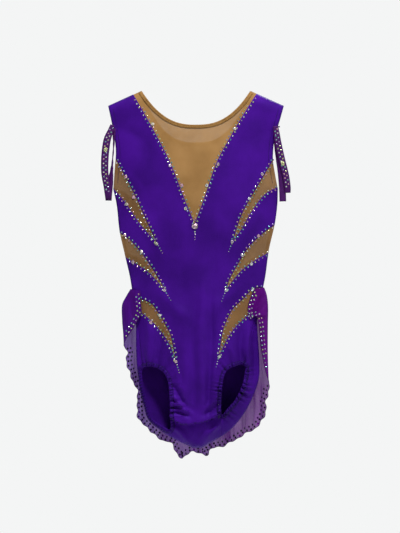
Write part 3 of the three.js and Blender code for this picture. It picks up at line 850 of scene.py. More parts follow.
@dataclass(frozen=True)
class SkirtMesh:
    """The sheer plum mesh of the skirt: bluer to the left and pinker to the right, with painted shade in fold
    streaks and a painted glow for the light through it.
    """

    name: str = "skirt mesh"
    blue: str = "420c74"
    pink: str = "52086a"
    cover: float = 0.925
    hole: float = 0.9
    # fold: the painted shade in the skirt's vertical fold streaks.
    fold: str = "33064c"
    # corner: the dark colour of the painted glow on the front corners, which lie on the body.
    corner: str = "120420"
    # glow: the strength of the painted glow that stands in for light through the sheer mesh.
    glow: float = 0.72

    def build(self) -> bpy.types.Material:
        """Makes the material."""
        g = Graph(self.name)
        vector, x, y, z = g.place()
        side = x.between(-0.12, 0.12) + (g.noise(16, 2) - 0.5) * 0.7
        # Vertical streaks of painted fold shade, which also make the cloth a little denser.
        stretched = g.node("ShaderNodeVectorMath", {"operation": "MULTIPLY"},
                           {0: vector, 1: (95.0, 60.0, 7.0)})[0]
        fold_shade_streak = g.noise(1.0, 2, stretched).between(0.42, 0.66)
        violet = g.mix(side.between(0.0, 1.0), srgb(self.blue), srgb(self.pink))
        violet = g.mix(fold_shade_streak * 0.6, violet, srgb(self.fold))
        # The painted glow: the skirt's own violet, but a dark colour on the front corners, which lie on the
        # body.
        front = y.between(0.004, -0.008)
        g.set(Base_Color=violet, Emission_Color=g.mix(front, violet, srgb(self.corner)))
        g.set(Emission_Strength=self.glow)
        weave = net_height(x, z, self.hole).between(0.3, 0.95) * 0.12 + (g.noise(30, 2) - 0.5) * 0.06
        g.set(Alpha=self.cover + front * 0.05 + fold_shade_streak * 0.06 - weave)
        g.set(Roughness=0.65, Specular_IOR_Level=0.06, Specular_Tint=srgb("a060ff"))
        g.bump(g.noise(240, 3), 0.0004, 0.4)
        return g.material


@dataclass(frozen=True)
class Plain:
    """A matt woven or knitted finish: tape, lining, thread, ribbon or binding."""

    name: str
    colour: str
    shade: str
    roughness: float = 0.7
    grain: float = 500.0
    relief: float = 0.0001
    rib: float = 0.0

    def build(self) -> bpy.types.Material:
        """Makes the material."""
        g = Graph(self.name)
        _, x, _, z = g.place()
        grain = g.noise(self.grain, 3)
        g.set(Base_Color=g.mix(grain.between(0.3, 0.7), srgb(self.shade), srgb(self.colour)))
        g.set(Roughness=self.roughness + (grain - 0.5) * 0.2, Specular_IOR_Level=0.18)
        height = grain
        if self.rib:
            height = grain + (x * self.rib + z * self.rib).sin() * (x * self.rib - z * self.rib).sin()
        g.bump(height, self.relief, 0.6)
        return g.material


@dataclass(frozen=True)
class Crystal:
    """A foiled flat-back crystal with an iridescent coat, tinted stone by stone, with painted glints on its
    facets and a painted glow.
    """

    name: str = "crystal"
    roughness: float = 0.09
    # The strength of the painted glow that makes the stones look bright.
    glow: float = 0.42

    def build(self) -> bpy.types.Material:
        """Makes the material."""
        g = Graph(self.name)
        tint = g.node("ShaderNodeAttribute", {"attribute_name": "tint"})[0]
        # Painted glints: each facet is lit from grey to white at random.
        flash = g.node("ShaderNodeAttribute", {"attribute_name": "flash"})[2]
        bright = g.mix(flash.between(0.35, 1.0), srgb("6f7672"), srgb("ffffff"))
        colour = g.node("ShaderNodeMix", {"data_type": "RGBA", "blend_type": "MULTIPLY"},
                        {0: 1.0, 6: tint, 7: bright})[2]
        g.set(Base_Color=colour, Metallic=0.55, Roughness=self.roughness + flash * 0.1)
        # A painted glow in the stone's own colour.
        g.set(Emission_Color=colour, Emission_Strength=self.glow)
        g.set(Coat_Weight=0.8, Coat_Roughness=0.04, Coat_IOR=1.6)
        return g.material


FINISHES = {
    "stretch": StretchSatin(),
    "reverse": StretchSatin("stretch satin reverse", "3c0d7c", "2c0862", 0.8),
    "nude": NudeMesh(),
    # The slash inserts: the same tan mesh made darker, as painted shade over the slashes.
    "slash": NudeMesh("slash mesh", "946e43", "7e5c38", 0.88),
    "skirt": SkirtMesh(),
    "binding": Plain("nude binding", "96703c", "845f2f", 0.66, 420, 0.00012, 3800),
    # The leg casings: the same satin made darker, as painted shade for their dense puckers.
    "rim": StretchSatin("leg casing satin", "340a70", "200450", 0.5),
    "ribbon": Plain("band ribbon", "4a0a62", "33054a", 0.55, 700, 0.00012, 3600),
    "lining": Plain("lining knit", "371074", "290a5a", 0.82, 600),
    "elastic": Plain("woven elastic", "2c1158", "1c0a3c", 0.8, 500, 0.0002, 2600),
    "overlock": Plain("overlock thread", "2a0d5e", "1b0740", 0.75, 900),
    "violet thread": Plain("violet thread", "240a58", "180638", 0.55, 1500, 0.00004),
    "tan thread": Plain("tan thread", "8e6435", "7a5228", 0.6, 1500, 0.00004),
    "crystal": Crystal(),
    "foil": Plain("dark foil", "1e0634", "10031e", 0.5, 800, 0.00002),
}


class Wardrobe:
    """The finishes, each made once when it is first asked for."""

    def __init__(self) -> None:
        """Starts with none made."""
        self.made: dict[str, bpy.types.Material] = {}

    def __getitem__(self, key: str) -> bpy.types.Material:
        """The material of a finish, by its key in FINISHES."""
        if key not in self.made:
            self.made[key] = FINISHES[key].build()
        return self.made[key]


WARDROBE = Wardrobe()


# ---- Cutting the cloth ----------------------------------------------------------------------


SLIVER = 1e-4  # twice the area below which a triangle is left out, in square millimetres


def hex_grid(pitch: float, low: Point, high: Point) -> np.ndarray:
    """Points of a hexagonal grid over a rectangle of the front view.

    Args:
        pitch: their distance along a row.
        low: the rectangle's lowest corner.
        high: its highest corner.

    Returns:
        The points, one a row.
    """
    levels = np.arange(low[1], high[1], pitch * 0.866)
    return np.array([(x + (i % 2) * pitch / 2, z)
                     for i, z in enumerate(levels) for x in np.arange(low[0], high[0], pitch)])


def triangulate(points: Sequence[Point], edges: Sequence[tuple[int, int]], kind: int
                ) -> tuple[np.ndarray, np.ndarray]:
    """A triangulation of the front view that keeps the given edges.

    Args:
        points: the points.
        edges: pairs of their numbers.
        kind: 0 to fill round all the points, 1 to fill only inside the edges.

    Returns:
        The points and the triangles, all turning the same way.
    """
    made = geometry.delaunay_2d_cdt([Vector(p) for p in points], edges, [], kind, 1e-4, True)
    plan = np.array([(v.x, v.y) for v in made[0]])
    faces = np.array([f for f in made[2] if len(f) == 3])
    a, b, c = (plan[faces[:, k]] for k in range(3))
    area = (b[:, 0] - a[:, 0]) * (c[:, 1] - a[:, 1]) - (b[:, 1] - a[:, 1]) * (c[:, 0] - a[:, 0])
    faces[area < 0] = faces[area < 0][:, ::-1]
    return plan, faces[np.abs(area) > SLIVER]


@dataclass
class Region:
    """A named area of a cut face; the first region that holds a place claims it."""

    name: str
    area: np.ndarray


@dataclass
class Cutter:
    """Cuts a face into pieces along exact lines, with one shared triangulation."""

    face: Face
    outline: np.ndarray
    lines: Sequence[np.ndarray]
    loops: Sequence[np.ndarray]
    regions: Sequence[Region]
    pitch: float = 4.4
    leg_pitch: float = 2.3
    leg_reach: float = 34.0
    shoulder_band: float = 17.0
    shoulder_rows: tuple[float, ...] = (0.15, 0.5, 1.2, 2.4, 4.0, 6.5, 10.0, 14.0)
    beside: tuple[float, ...] = (-3.2, -1.3, 1.3, 3.2)
    pieces: dict[str, tuple[np.ndarray, np.ndarray]] = field(default_factory=dict)

    def scatter(self) -> np.ndarray:
        """The points inside the outline: a hexagonal grid, finer by the shoulders and legs."""
        base = hex_grid(self.pitch, (-180, -668), (180, 2))
        if self.face.side is Side.FRONT:
            rims = list(LEG_RIMS.values())
            fine = hex_grid(self.leg_pitch, (-135, -668), (135, -480))
            base = np.vstack([base[distance_to(rims, base) > self.leg_reach],
                              fine[distance_to(rims, fine) < self.leg_reach]])
        base = base[base[:, 1] < shoulder_line(base[:, 0]) - self.shoulder_band]
        x = np.arange(-162, 162.1, 4.0)
        rows = [np.stack([x, shoulder_line(x) - drop], 1) for drop in self.shoulder_rows]
        beside = [line + left_normals(line) * step
                  for line in [*self.lines, *self.loops] for step in self.beside]
        points = np.vstack([base, *rows])
        cuts = [*self.lines, *self.loops, self.outline]
        far = distance_to(cuts, points) > 1.7
        points = np.vstack([points[far], *beside])
        points = points[inside(self.outline, points) & (distance_to(cuts, points) > 0.6)]
        _, first = np.unique(np.round(points).astype(int), axis=0, return_index=True)
        return points[np.sort(first)]

    def cut(self) -> None:
        """Triangulates the face and sorts its triangles into pieces."""
        points, edges = [tuple(p) for p in self.scatter()], []
        courses = [(self.outline, True), *((a, False) for a in self.lines), *((a, True) for a in self.loops)]
        for line, closed in courses:
            start = len(points)
            points += [tuple(p) for p in line]
            edges += [(start + i, start + i + 1) for i in range(len(line) - 1)]
            if closed:
                edges.append((start + len(line) - 1, start))
        plan, faces = triangulate(points, edges, 0)
        middle = plan[faces].mean(1)
        owner = np.full(len(faces), -1)
        for k, region in enumerate(self.regions):
            owner[(owner < 0) & inside(region.area, middle)] = k
        owner[~inside(self.outline, middle)] = -1
        for k, region in enumerate(self.regions):
            chosen = faces[owner == k]
            if region.name and len(chosen):
                used, packed = np.unique(chosen, return_inverse=True)
                self.pieces[region.name] = (plan[used], packed.reshape(-1, 3))

    def sheet(self, name: str) -> tuple[np.ndarray, np.ndarray]:
        """A piece's points in space and its triangles, facing outwards."""
        plan, faces = self.pieces[name]
        points = self.face.point(plan[:, 0], plan[:, 1])
        return points, faces if self.face.side is Side.FRONT else faces[:, ::-1]


def joined(*sheets: tuple[np.ndarray, np.ndarray]) -> tuple[np.ndarray, np.ndarray]:
    """Several sheets as one list of points and triangles."""
    starts = np.cumsum([0] + [len(points) for points, _ in sheets])
    return (np.vstack([points for points, _ in sheets]),
            np.vstack([faces + start for (_, faces), start in zip(sheets, starts)]))


def cloth_area(points: np.ndarray, faces: np.ndarray) -> float:
    """A sheet's area, in square millimetres."""
    a, b, c = (points[faces[:, k]] for k in range(3))
    return float(np.linalg.norm(np.cross(b - a, c - a), axis=1).sum() / 2)


LEAST_SHARE = 0.31  # the least share of its flat rectangle that a cut cloth fills


def declare_sheet(points: np.ndarray, faces: np.ndarray,
                  stretch: float = 1.0, layers: int = 1) -> None:
    """Works out a cut cloth's flat size from the pattern, but keeps nothing of it.

    Args:
        points: its points in space, in millimetres.
        faces: its triangles.
        stretch: how much longer it hangs than it was cut.
        layers: how many layers of it lie over each other in the front view.
    """
    area = cloth_area(points, faces) / stretch
    width, length = smallest_rectangle(points[:, [0, 2]])
    length *= layers
    grow = max(1.0, math.sqrt(area / (width * length)) * 1.001)
    narrow = min(1.0, area / (width * length * grow * grow) / LEAST_SHARE)
    size = (width * grow * narrow * MM, length * grow * MM)
    min(area * MM * MM, size[0] * size[1])


PAST_CROTCH = -690.0
EVERYWHERE = np.array([(-200, 30), (200, 30), (200, -700), (-200, -700)])


@dataclass
class BodyPanels:
    """The satin panels and the mesh inserts of the front and the back."""

    wall: float = 0.9
    stretch: float = 1.04

    def front(self) -> Cutter:
        """Cuts the front cloth."""
        lines = [*FRONT_VEE, GUSSET_FRONT]
        for slash in FRONT_SLASHES.values():
            lines += slash.edges(2.4)
        wraps = {side: wrap_outline(side) for side in LEG_RIMS}
        for outline in wraps.values():
            lines += [evenly(outline[i : i + 2], 2.6) for i in range(1, 5)]
        below = np.vstack([GUSSET_FRONT, [(GUSSET_HALF + 3, PAST_CROTCH), (-GUSSET_HALF - 3, PAST_CROTCH)]])
        regions = [Region("", rim) for rim in LEG_RIMS.values()]
        regions += [Region("front_neck_mesh", vee_outline(FRONT_VEE))]
        regions += [Region(f"{key}_front_mesh", slash.outline()) for key, slash in FRONT_SLASHES.items()]
        regions += [Region("gusset", below)]
        regions += [Region(f"wrap_{side}", outline) for side, outline in wraps.items()]
        regions += [Region("front_body", EVERYWHERE)]
        cutter = Cutter(FRONT, garment_outline(FRONT_NECK), lines, list(LEG_RIMS.values()), regions)
        cutter.cut()
        return cutter

    def back(self) -> Cutter:
        """Cuts the back cloth."""
        low = np.array([(-GUSSET_HALF, GUSSET_BACK_TOP), (GUSSET_HALF, GUSSET_BACK_TOP)], float)
        lines = [*BACK_VEE, evenly(low, 2.6)]
        for slash in BACK_SLASHES.values():
            lines += slash.edges(2.4)
        regions = [Region("back_yoke_mesh", vee_outline(BACK_VEE))]
        regions += [Region(f"{key}_back_mesh", slash.outline()) for key, slash in BACK_SLASHES.items()]
        below = np.vstack([low, [(GUSSET_HALF, PAST_CROTCH), (-GUSSET_HALF, PAST_CROTCH)]])
        regions += [Region("gusset", below), Region("back_body", EVERYWHERE)]
        cutter = Cutter(BACK, garment_outline(BACK_NECK), lines, [], regions)
        cutter.cut()
        return cutter

    def build(self) -> None:
        """Makes every panel."""
        front, back = self.front(), self.back()
        wraps = [front.sheet(f"wrap_{side}") for side in LEG_RIMS]
        satin = {
            "front_body": (front.sheet("front_body"), ["left_shoulder_tape", "right_shoulder_tape"]),
            "back_body": (joined(back.sheet("back_body"), *wraps), ["front_body"]),
            "gusset": (joined(front.sheet("gusset"), back.sheet("gusset")), ["front_body", "back_body"]),
        }
        for name, ((points, faces), on) in satin.items():
            piece = make_mesh(f"{name}_cloth", points, faces, [WARDROBE["stretch"], WARDROBE["reverse"]])
            thicken(piece, self.wall, 1)
            finish_piece(piece, [name])
            declare_sheet(points, faces, self.stretch, 2 if name != "front_body" else 1)
        for cutter, on in ((front, "front_body"), (back, "back_body")):
            for name in sorted(key for key in cutter.pieces if key.endswith("_mesh")):
                points, faces = cutter.sheet(name)
                finish = "nude" if "neck" in name or "yoke" in name else "slash"
                piece = make_mesh(f"{name}_sheer", points, faces, [WARDROBE[finish]])
                finish_piece(piece, [name])
                declare_sheet(points, faces, self.stretch)


# ---- Bindings, casings and tapes ------------------------------------------------------------


def ring_faces(rings: int, around: int, closed: bool = False) -> list[tuple[int, ...]]:
    """The faces of a surface through rings of points, with two end caps unless it closes.

    Args:
        rings: how many rings there are.
        around: how many points each ring has.
        closed: whether the last ring joins the first.

    Returns:
        The faces, as the points' numbers.
    """
    faces: list[tuple[int, ...]] = []
    for i in range(rings if closed else rings - 1):
        j = (i + 1) % rings
        faces += [(i * around + a, i * around + (a + 1) % around,
                   j * around + (a + 1) % around, j * around + a) for a in range(around)]
    if not closed:
        faces += [tuple(range(around))[::-1], tuple((rings - 1) * around + a for a in range(around))]
    return faces


def strip(name: str, face: Face, line: np.ndarray, section: Sequence[Point], finish: str,
          closed: bool = False, swell: np.ndarray | float = 1.0) -> bpy.types.Object:
    """A closed strip that follows a line over a face.

    Args:
        name: the piece's name.
        face: the cloth that it lies on.
        line: its course in the front view.
        section: its outline, as (sideways, outwards) offsets; sideways is to the line's left.
        finish: a key in FINISHES.
        closed: whether the line closes on itself.
        swell: scales the section's outward offsets, for each point of the line.

    Returns:
        The mesh object.
    """
    sides = left_normals(line, closed)
    size = np.broadcast_to(swell, len(line))
    rings = []
    for across, out in section:
        at = line + sides * across
        base = face.point(at[:, 0], at[:, 1])
        rings.append(base + face.normal(at[:, 0], at[:, 1]) * (out * size)[:, None])
    points = np.stack(rings, 1).reshape(-1, 3)
    piece = make_mesh(name, points, ring_faces(len(line), len(section), closed), [WARDROBE[finish]])
    face_outwards(piece)
    return piece


def face_outwards(piece: bpy.types.Object) -> None:
    """Turns a closed mesh's faces outwards."""
    mesh = piece.data
    v = np.array([p.co[:] for p in mesh.vertices])
    volume = 0.0
    mesh.calc_loop_triangles()
    for tri in mesh.loop_triangles:
        a, b, c = v[list(tri.vertices)]
        volume += float(np.dot(a, np.cross(b, c)))
    if volume < 0:
        mesh.flip_normals()


def tape(width: float, low: float, high: float, start: float = 0.0) -> list[Point]:
    """A flat section with rounded edges, from a start offset to start + width."""
    middle, half = (low + high) / 2, (high - low) / 2
    points = []
    for centre, first in ((start + width - half, -90), (start + half, 90)):
        for angle in np.radians(np.linspace(first, first + 180, 5)):
            points.append((centre + half * math.cos(angle), middle + half * math.sin(angle)))
    top = [(start + half + (width - 2 * half) * t, high) for t in (0.75, 0.5, 0.25)]
    bottom = [(start + half + (width - 2 * half) * t, low) for t in (0.25, 0.5, 0.75)]
    return points[:5] + top + points[5:] + bottom


@dataclass
class Trims:
    """Neck bindings, leg casings, armhole facings, tapes, side seams and the gusset's lining."""

    neck_width: float = 6.7
    casing_width: float = 7.0
    leg_step: float = 1.3
    pleat: float = 5.2
    pucker: float = 0.34
    elastic_width: float = 5.0
    facing_width: float = 8.0

    def neck(self) -> None:
        """The tan bindings of the front and back necklines."""
        for key, face, line in (("front", FRONT, FRONT_NECK), ("back", BACK, BACK_NECK)):
            fine = evenly(line, 1.6)
            inner = fine[np.abs(fine[:, 0]) < NECK_HALF - 0.4]
            i = np.arange(len(inner))
            piece = strip(f"{key}_neck_binding_tape", face, inner,
                          tape(self.neck_width + 0.6, -0.9, 1.25, -self.neck_width), "binding",
                          swell=1 + 0.10 * np.sin(i * 0.83) + 0.07 * np.sin(i * 0.31 + 1))
            finish_piece(piece, [f"{key}_neck_binding"])

    def legs(self) -> None:
        """The gathered casings of the leg openings, with the elastic inside."""
        for side, rim in LEG_RIMS.items():
            line = evenly(rim, self.leg_step, True)
            width = self.casing_width * math.copysign(1.0, -winding(rim))
            ring = [(width * (0.5 + 0.5 * math.cos(a)), 0.6 + 1.9 * math.sin(a))
                    for a in np.linspace(0, 2 * np.pi, 14, endpoint=False)]
            rng = np.random.default_rng(5 if side == "left" else 6)
            phase = np.cumsum(rng.uniform(0.75, 1.25, len(line))) * 2 * np.pi * self.leg_step / self.pleat
            pucker = 1 + self.pucker * np.sin(phase)
            piece = strip(f"{side}_leg_casing", FRONT, line, ring, "rim", True, pucker)
            finish_piece(piece, [f"{side}_leg_binding"])
            inner = (self.casing_width - self.elastic_width) / 2
            sign = math.copysign(1.0, width)
            flat = [(sign * (inner + a), b) for a, b in tape(self.elastic_width, 0.1, 0.6)]
            piece = strip(f"{side}_leg_elastic_band", FRONT, line, flat, "elastic", True)
            finish_piece(piece, [f"{side}_leg_elastic"])

    def armholes(self) -> None:
        """The turned facings inside the armhole edges."""
        for side, line, sign in (("left", LEFT_ARMHOLE, 1), ("right", RIGHT_ARMHOLE, -1)):
            part = evenly(line[(line[:, 1] < -46) & (line[:, 1] > -158)], 2.5)
            for key, face in (("front", FRONT), ("back", BACK)):
                flat = [(sign * (0.6 + a), b) for a, b in tape(self.facing_width, -1.6, -0.7)]
                piece = strip(f"{side}_{key}_armhole_hem", face, part, flat, "lining")
                finish_piece(piece, [f"{side}_{key}_armhole_facing"])

    def seams(self) -> None:
        """The overlocked allowances inside the side seams."""
        for side, edge, sign in (("left", LEFT_SIDE, 1), ("right", RIGHT_SIDE, -1)):
            z = np.arange(-190.0, -418.0, -2.0)
            x = edge(z) + sign * 2.6
            wave = 0.25 * np.sin(np.arange(len(z)) * 1.9)
            section = [(0, -0.35), (0, 0.35), (4.6, 0.3), (4.6, -0.3)]
            points = np.stack([
                np.stack([x + sign * (a + (wave if a else 0)), np.full(len(z), b), z], 1)
                for a, b in section], 1).reshape(-1, 3)
            faces: list[Sequence[int]] = [(0, 1, 2, 3)]
            for i in range(len(z) - 1):
                faces += [(i * 4 + a, i * 4 + (a + 1) % 4, i * 4 + 4 + (a + 1) % 4, i * 4 + 4 + a)
                          for a in range(4)]
            faces.append(tuple(len(points) - 1 - a for a in range(4)))
            piece = make_mesh(f"{side}_side_overlock", points, faces, [WARDROBE["overlock"]])
            face_outwards(piece)
            finish_piece(piece, [f"{side}_side_seam"])

    def lining(self) -> None:
        """The gusset's lining and the tape of the skirt seam."""
        x = np.linspace(-36, 36, 25)
        z = np.linspace(-649, -543, 36)
        plan = np.array([(a * min(1.0, 0.5 + (b + 665) / 60), b) for b in z for a in x])
        points = FRONT.point(plan[:, 0], plan[:, 1], -1.5)
        faces = np.array([
            (r * 25 + c, r * 25 + c + 1, (r + 1) * 25 + c + 1, (r + 1) * 25 + c)
            for r in range(35) for c in range(24)])
        piece = make_mesh("gusset_lining_knit", points, faces, [WARDROBE["lining"]])
        thicken(piece, 0.6)
        finish_piece(piece, ["gusset_lining"])
        triangles = np.vstack([faces[:, [0, 1, 2]], faces[:, [0, 2, 3]]])
        declare_sheet(points, triangles, 1.0)
        x = np.arange(-118, 118.1, 3.0)
        line = np.stack([x, np.full(len(x), -367.5)], 1)
        piece = strip("skirt_seam_tape_band", BACK, line, tape(7, 0.55, 1.15, -7), "lining")
        finish_piece(piece, ["skirt_seam_tape"])

    def build(self) -> None:
        """Makes every trim."""
        self.neck()
        self.legs()
        self.armholes()
        self.seams()
        self.lining()
        for side in ("left", "right"):
            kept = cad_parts[f"{side}_shoulder_tape"]
            kept.data.materials.clear()
            kept.data.materials.append(WARDROBE["elastic"])


# ---- The skirt ------------------------------------------------------------------------------

SKIRT_TOP = -371.0
SKIRT_HEM = (
    (-134.7, -473.5), (-128, -487), (-130, -502), (-121, -534), (-109.5, -562), (-110.5, -590),
    (-107, -613), (-88, -633), (-66, -653), (-49, -657), (-36, -678), (-25.5, -689), (-16, -679),
    (-6, -675), (10, -680), (21, -681), (29, -670), (49, -665), (68, -656), (91, -642), (117, -625),
    (130.5, -597), (130.5, -577), (136.5, -556), (135.6, -540),
)
LEFT_CORNER_EDGE = (
    (-104.4, -372), (-103, -393), (-101.8, -413), (-109, -428), (-120, -446), (-131, -463),
    (-134.7, -473.5),
)
RIGHT_CORNER_EDGE = (
    (110, -368), (102, -384), (97, -401), (97, -417), (101, -426), (108, -419), (115, -425),
    (118.4, -449), (121, -479), (126, -505), (131, -527), (135.6, -540),
)
SKIRT_LEFT_FOLD = (
    (-122, -369), (-131, -384), (-138, -400), (-137.5, -430), (-135.5, -455), (-134.7, -473.5),
)
SKIRT_RIGHT_FOLD = ((127, -366), (132, -380), (134.5, -403), (134, -440), (134, -490), (135.6, -540))


@dataclass
class Skirt:
    """The sheer skirt: sewn to the back waist, wrapped round to two corners in front."""

    pitch: float = 4.2
    depth: Profile = field(default_factory=lambda: Profile([
        (-366, 28.8), (-385, 31.5), (-430, 39), (-478, 45), (-560, 48), (-680, 49)]))
    folds: tuple[Crease, ...] = (
        Crease((120, -440), (122, -600), 7.0, 3.0), Crease((104, -470), (108, -620), 6.0, -2.6),
        Crease((90, -450), (88, -632), 7.0, 2.6), Crease((70, -480), (66, -650), 7.0, -2.4),
        Crease((40, -500), (38, -668), 8.0, 2.6), Crease((14, -440), (12, -676), 8.0, -2.2),
        Crease((-14, -470), (-20, -680), 8.0, 2.6), Crease((-40, -450), (-44, -660), 8.0, -2.4),
        Crease((-66, -480), (-68, -644), 7.0, 2.4), Crease((-90, -440), (-92, -626), 7.0, -2.8),
        Crease((-112, -430), (-110, -560), 7.0, 3.0), Crease((-124, -430), (-122, -500), 4.0, -2.4),
    )
    front_folds: tuple[Crease, ...] = (
        Crease((124, -372), (104, -408), 3.2, 1.8), Crease((134, -392), (112, -416), 3.0, -1.7),
        Crease((108, -417), (134, -419), 2.6, 2.6), Crease((110, -424), (134, -428), 2.8, -2.2),
        Crease((118, -430), (127, -500), 2.6, 1.9), Crease((126, -430), (131, -505), 2.4, -1.6),
        Crease((-118, -374), (-106, -412), 3.2, 1.4), Crease((-128, -386), (-115, -428), 3.2, -1.4),
        Crease((-134, -404), (-124, -450), 3.0, 1.5), Crease((-134, -430), (-131, -466), 2.4, -1.2),
    )

    def hem(self) -> np.ndarray:
        """The back sheet's hem, with small scallops, from its left fold to its right one."""
        line = smooth_line(SKIRT_HEM, 1.6)
        out = -left_normals(line)
        i = np.arange(len(line))
        ends = np.clip(np.minimum(i, len(line) - 1 - i) / 12, 0, 1)
        return line + out * (ends * (1.1 * np.sin(i * 0.52) + 0.8 * np.sin(i * 0.29 + 1)))[:, None]

    def spread(self, x: np.ndarray, z: np.ndarray) -> np.ndarray:
        """1 in the middle of the skirt and 0 on its side folds, for the back sheet's depth."""
        low = np.interp(-z, -np.array([p[1] for p in SKIRT_LEFT_FOLD]), [p[0] for p in SKIRT_LEFT_FOLD])
        high = np.interp(-z, -np.array([p[1] for p in SKIRT_RIGHT_FOLD]),
                         [p[0] for p in SKIRT_RIGHT_FOLD])
        u = (2 * x - low - high) / (high - low)
        return np.clip(1 - u * u, 0, None)

    def back_point(self, x: np.ndarray, z: np.ndarray) -> np.ndarray:
        """A point of the back sheet."""
        spread = self.spread(x, z)
        lower = smoothstep((-z - 440) / 160)
        power = spread ** (1.0 - 0.55 * lower)
        wave = sum(item.lift(x, z) for item in self.folds)
        grown = smoothstep((-z - 385) / 200)
        ruffle = (0.35 + 2.3 * grown) * np.sin(x * 0.30 + 1.4 * np.sin(x * 0.05 + 1) + z * 0.006)
        ruffle = ruffle + grown * np.sin(x * 0.74 + z * 0.013)
        y = 1.0 + self.depth(z) * power + (wave + ruffle) * np.clip(power * 2.5, 0, 1)
        under = np.clip((1 - BACK.across(x, z) ** 2) * 8, 0, 1) * (BACK.height(x, z) + 1.3)
        gap = np.maximum(0.0, 1.6 - np.abs(y - under)) / 1.6
        y = np.maximum(y, under) + gap * gap * 0.4
        return np.stack([x, y, z], -1)

    def front_point(self, x: np.ndarray, z: np.ndarray) -> np.ndarray:
        """A point of a front corner, which lies on the body as far as the body reaches."""
        over = FRONT.height(x, z)
        spread = self.spread(x, z)
        body = np.clip((1 - FRONT.across(x, z) ** 2) * 6, 0, 1)
        wave = sum(item.lift(x, z) for item in self.front_folds)
        free = 1.0 + 15.0 * np.sqrt(spread)
        y = free * (1 - body) + np.maximum(over + 1.2, free) * body
        y = y + wave * np.clip(spread * 12, 0, 1) * 0.8
        return np.stack([x, -y, z], -1)

    def cut(self, outline: np.ndarray, fine: float) -> tuple[np.ndarray, np.ndarray]:
        """A plain triangulated area of the front view."""
        grid = hex_grid(fine, outline.min(0), outline.max(0))
        keep = inside(outline, grid) & (distance_to([np.vstack([outline, outline[:1]])], grid) > fine * 0.5)
        points = [tuple(p) for p in outline] + [tuple(p) for p in grid[keep]]
        edges = [(i, (i + 1) % len(outline)) for i in range(len(outline))]
        plan, faces = triangulate(points, edges, 1)
        return plan, faces[inside(outline, plan[faces].mean(1))]

    def swing(self, piece: bpy.types.Object) -> None:
        """Applies a piece's placement to its mesh."""
        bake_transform(piece)

    def rows(self) -> list[tuple[np.ndarray, np.ndarray]]:
        """The stones' rows, as points and outward normals: two on the hem, two on each corner."""
        hem = self.hem()
        result = []
        for inset, shift in ((3.0, 0.0), (8.0, 0.5)):
            line = hem + left_normals(hem) * inset
            line = evenly(line[6:-6], 8.6)
            line = (line + shift * np.roll(line, -1, 0)) / (1 + shift) if shift else line
            line = line[:-1] if shift else line
            normals = self.normals(self.back_point, line, 1.0)
            points = self.back_point(line[:, 0], line[:, 1]) - normals * 0.45
            result.append((points, normals))
        for edge, inward in ((LEFT_CORNER_EDGE, 1), (RIGHT_CORNER_EDGE, -1)):
            smooth = smooth_line(edge, 1.6)
            for inset, start in ((2.6, 4), (7.4, 7)):
                line = smooth - left_normals(smooth) * inset * inward
                line = evenly(line[start:-6], 8.4)
                line = line[self.spread(line[:, 0], line[:, 1]) > 0.045]
                normals = self.normals(self.front_point, line, -1.0)
                points = self.front_point(line[:, 0], line[:, 1]) + normals * 0.3
                result.append((points, normals))
        return result

    @staticmethod
    def normals(point: Callable[[np.ndarray, np.ndarray], np.ndarray], line: np.ndarray,
                side: float) -> np.ndarray:
        """A sheet's unit normals at places of the front view, towards one side of it.

        Args:
            point: gives the sheet's points over x and z.
            line: the places.
            side: 1 for the normals towards the back and -1 for those towards the front.

        Returns:
            The normals, one a row, kept from turning edge-on.
        """
        x, z = line[:, 0], line[:, 1]
        dx = (point(x + 1, z) - point(x - 1, z))[:, 1] / 2
        dz = (point(x, z + 1) - point(x, z - 1))[:, 1] / 2
        slope = np.maximum(1.0, np.hypot(dx, dz) / 1.5)
        normal = np.stack([-dx / slope, np.ones(len(x)), -dz / slope], 1) * side
        return normal / np.linalg.norm(normal, axis=1, keepdims=True)

    def build(self) -> None:
        """Makes the skirt as one cloth."""
        hem = self.hem()
        left_fold = smooth_line(SKIRT_LEFT_FOLD, 3.0)
        right_fold = smooth_line(SKIRT_RIGHT_FOLD, 3.0)
        top = np.stack([np.linspace(127, -122, 84), np.linspace(-366, -369, 84)], 1)
        back = self.cut(np.vstack([left_fold[:-1], hem, right_fold[::-1][1:-1], top[:-1]]), self.pitch)
        sheets = [(self.back_point(back[0][:, 0], back[0][:, 1]), back[1][:, ::-1])]
        for fold, edge in ((left_fold, LEFT_CORNER_EDGE), (right_fold, RIGHT_CORNER_EDGE)):
            free = smooth_line(edge, 2.4)
            head = np.linspace(free[0], fold[0], 8)[1:-1]
            plan, faces = self.cut(np.vstack([fold, free[::-1][1:], head]), 2.8)
            sheets.append((self.front_point(plan[:, 0], plan[:, 1]), faces))
        points, faces = joined(*sheets)
        folds = np.vstack([left_fold, right_fold])
        tree = kdtree.KDTree(len(folds))
        for i, (x, z) in enumerate(folds):
            tree.insert((x, 0, z), i)
        tree.balance()
        for p in points:
            if tree.find((p[0], 0, p[2]))[2] < 0.05:
                p[1] = 0.0
        piece = make_mesh("skirt_sheer", points, faces, [WARDROBE["skirt"]])
        fuse(piece, 0.02)
        finish_piece(piece, ["skirt", "left_skirt_corner", "right_skirt_corner"], None)
        self.swing(piece)
        declare_sheet(points, faces, 1.0, 2)
        self.build_hem(hem)

    def build_hem(self, hem: np.ndarray) -> None:
        """The narrow rolled hem along the free edges."""
        runs = [(self.back_point, hem)]
        runs += [(self.front_point, smooth_line(edge, 1.6)) for edge in (LEFT_CORNER_EDGE, RIGHT_CORNER_EDGE)]
        points, faces = joined(*(tube(at(line[:, 0], line[:, 1]), 0.55, 6) for at, line in runs))
        piece = make_mesh("skirt_rolled_hem", points, faces, [WARDROBE["ribbon"]])
        finish_piece(piece, (), None)
        self.swing(piece)


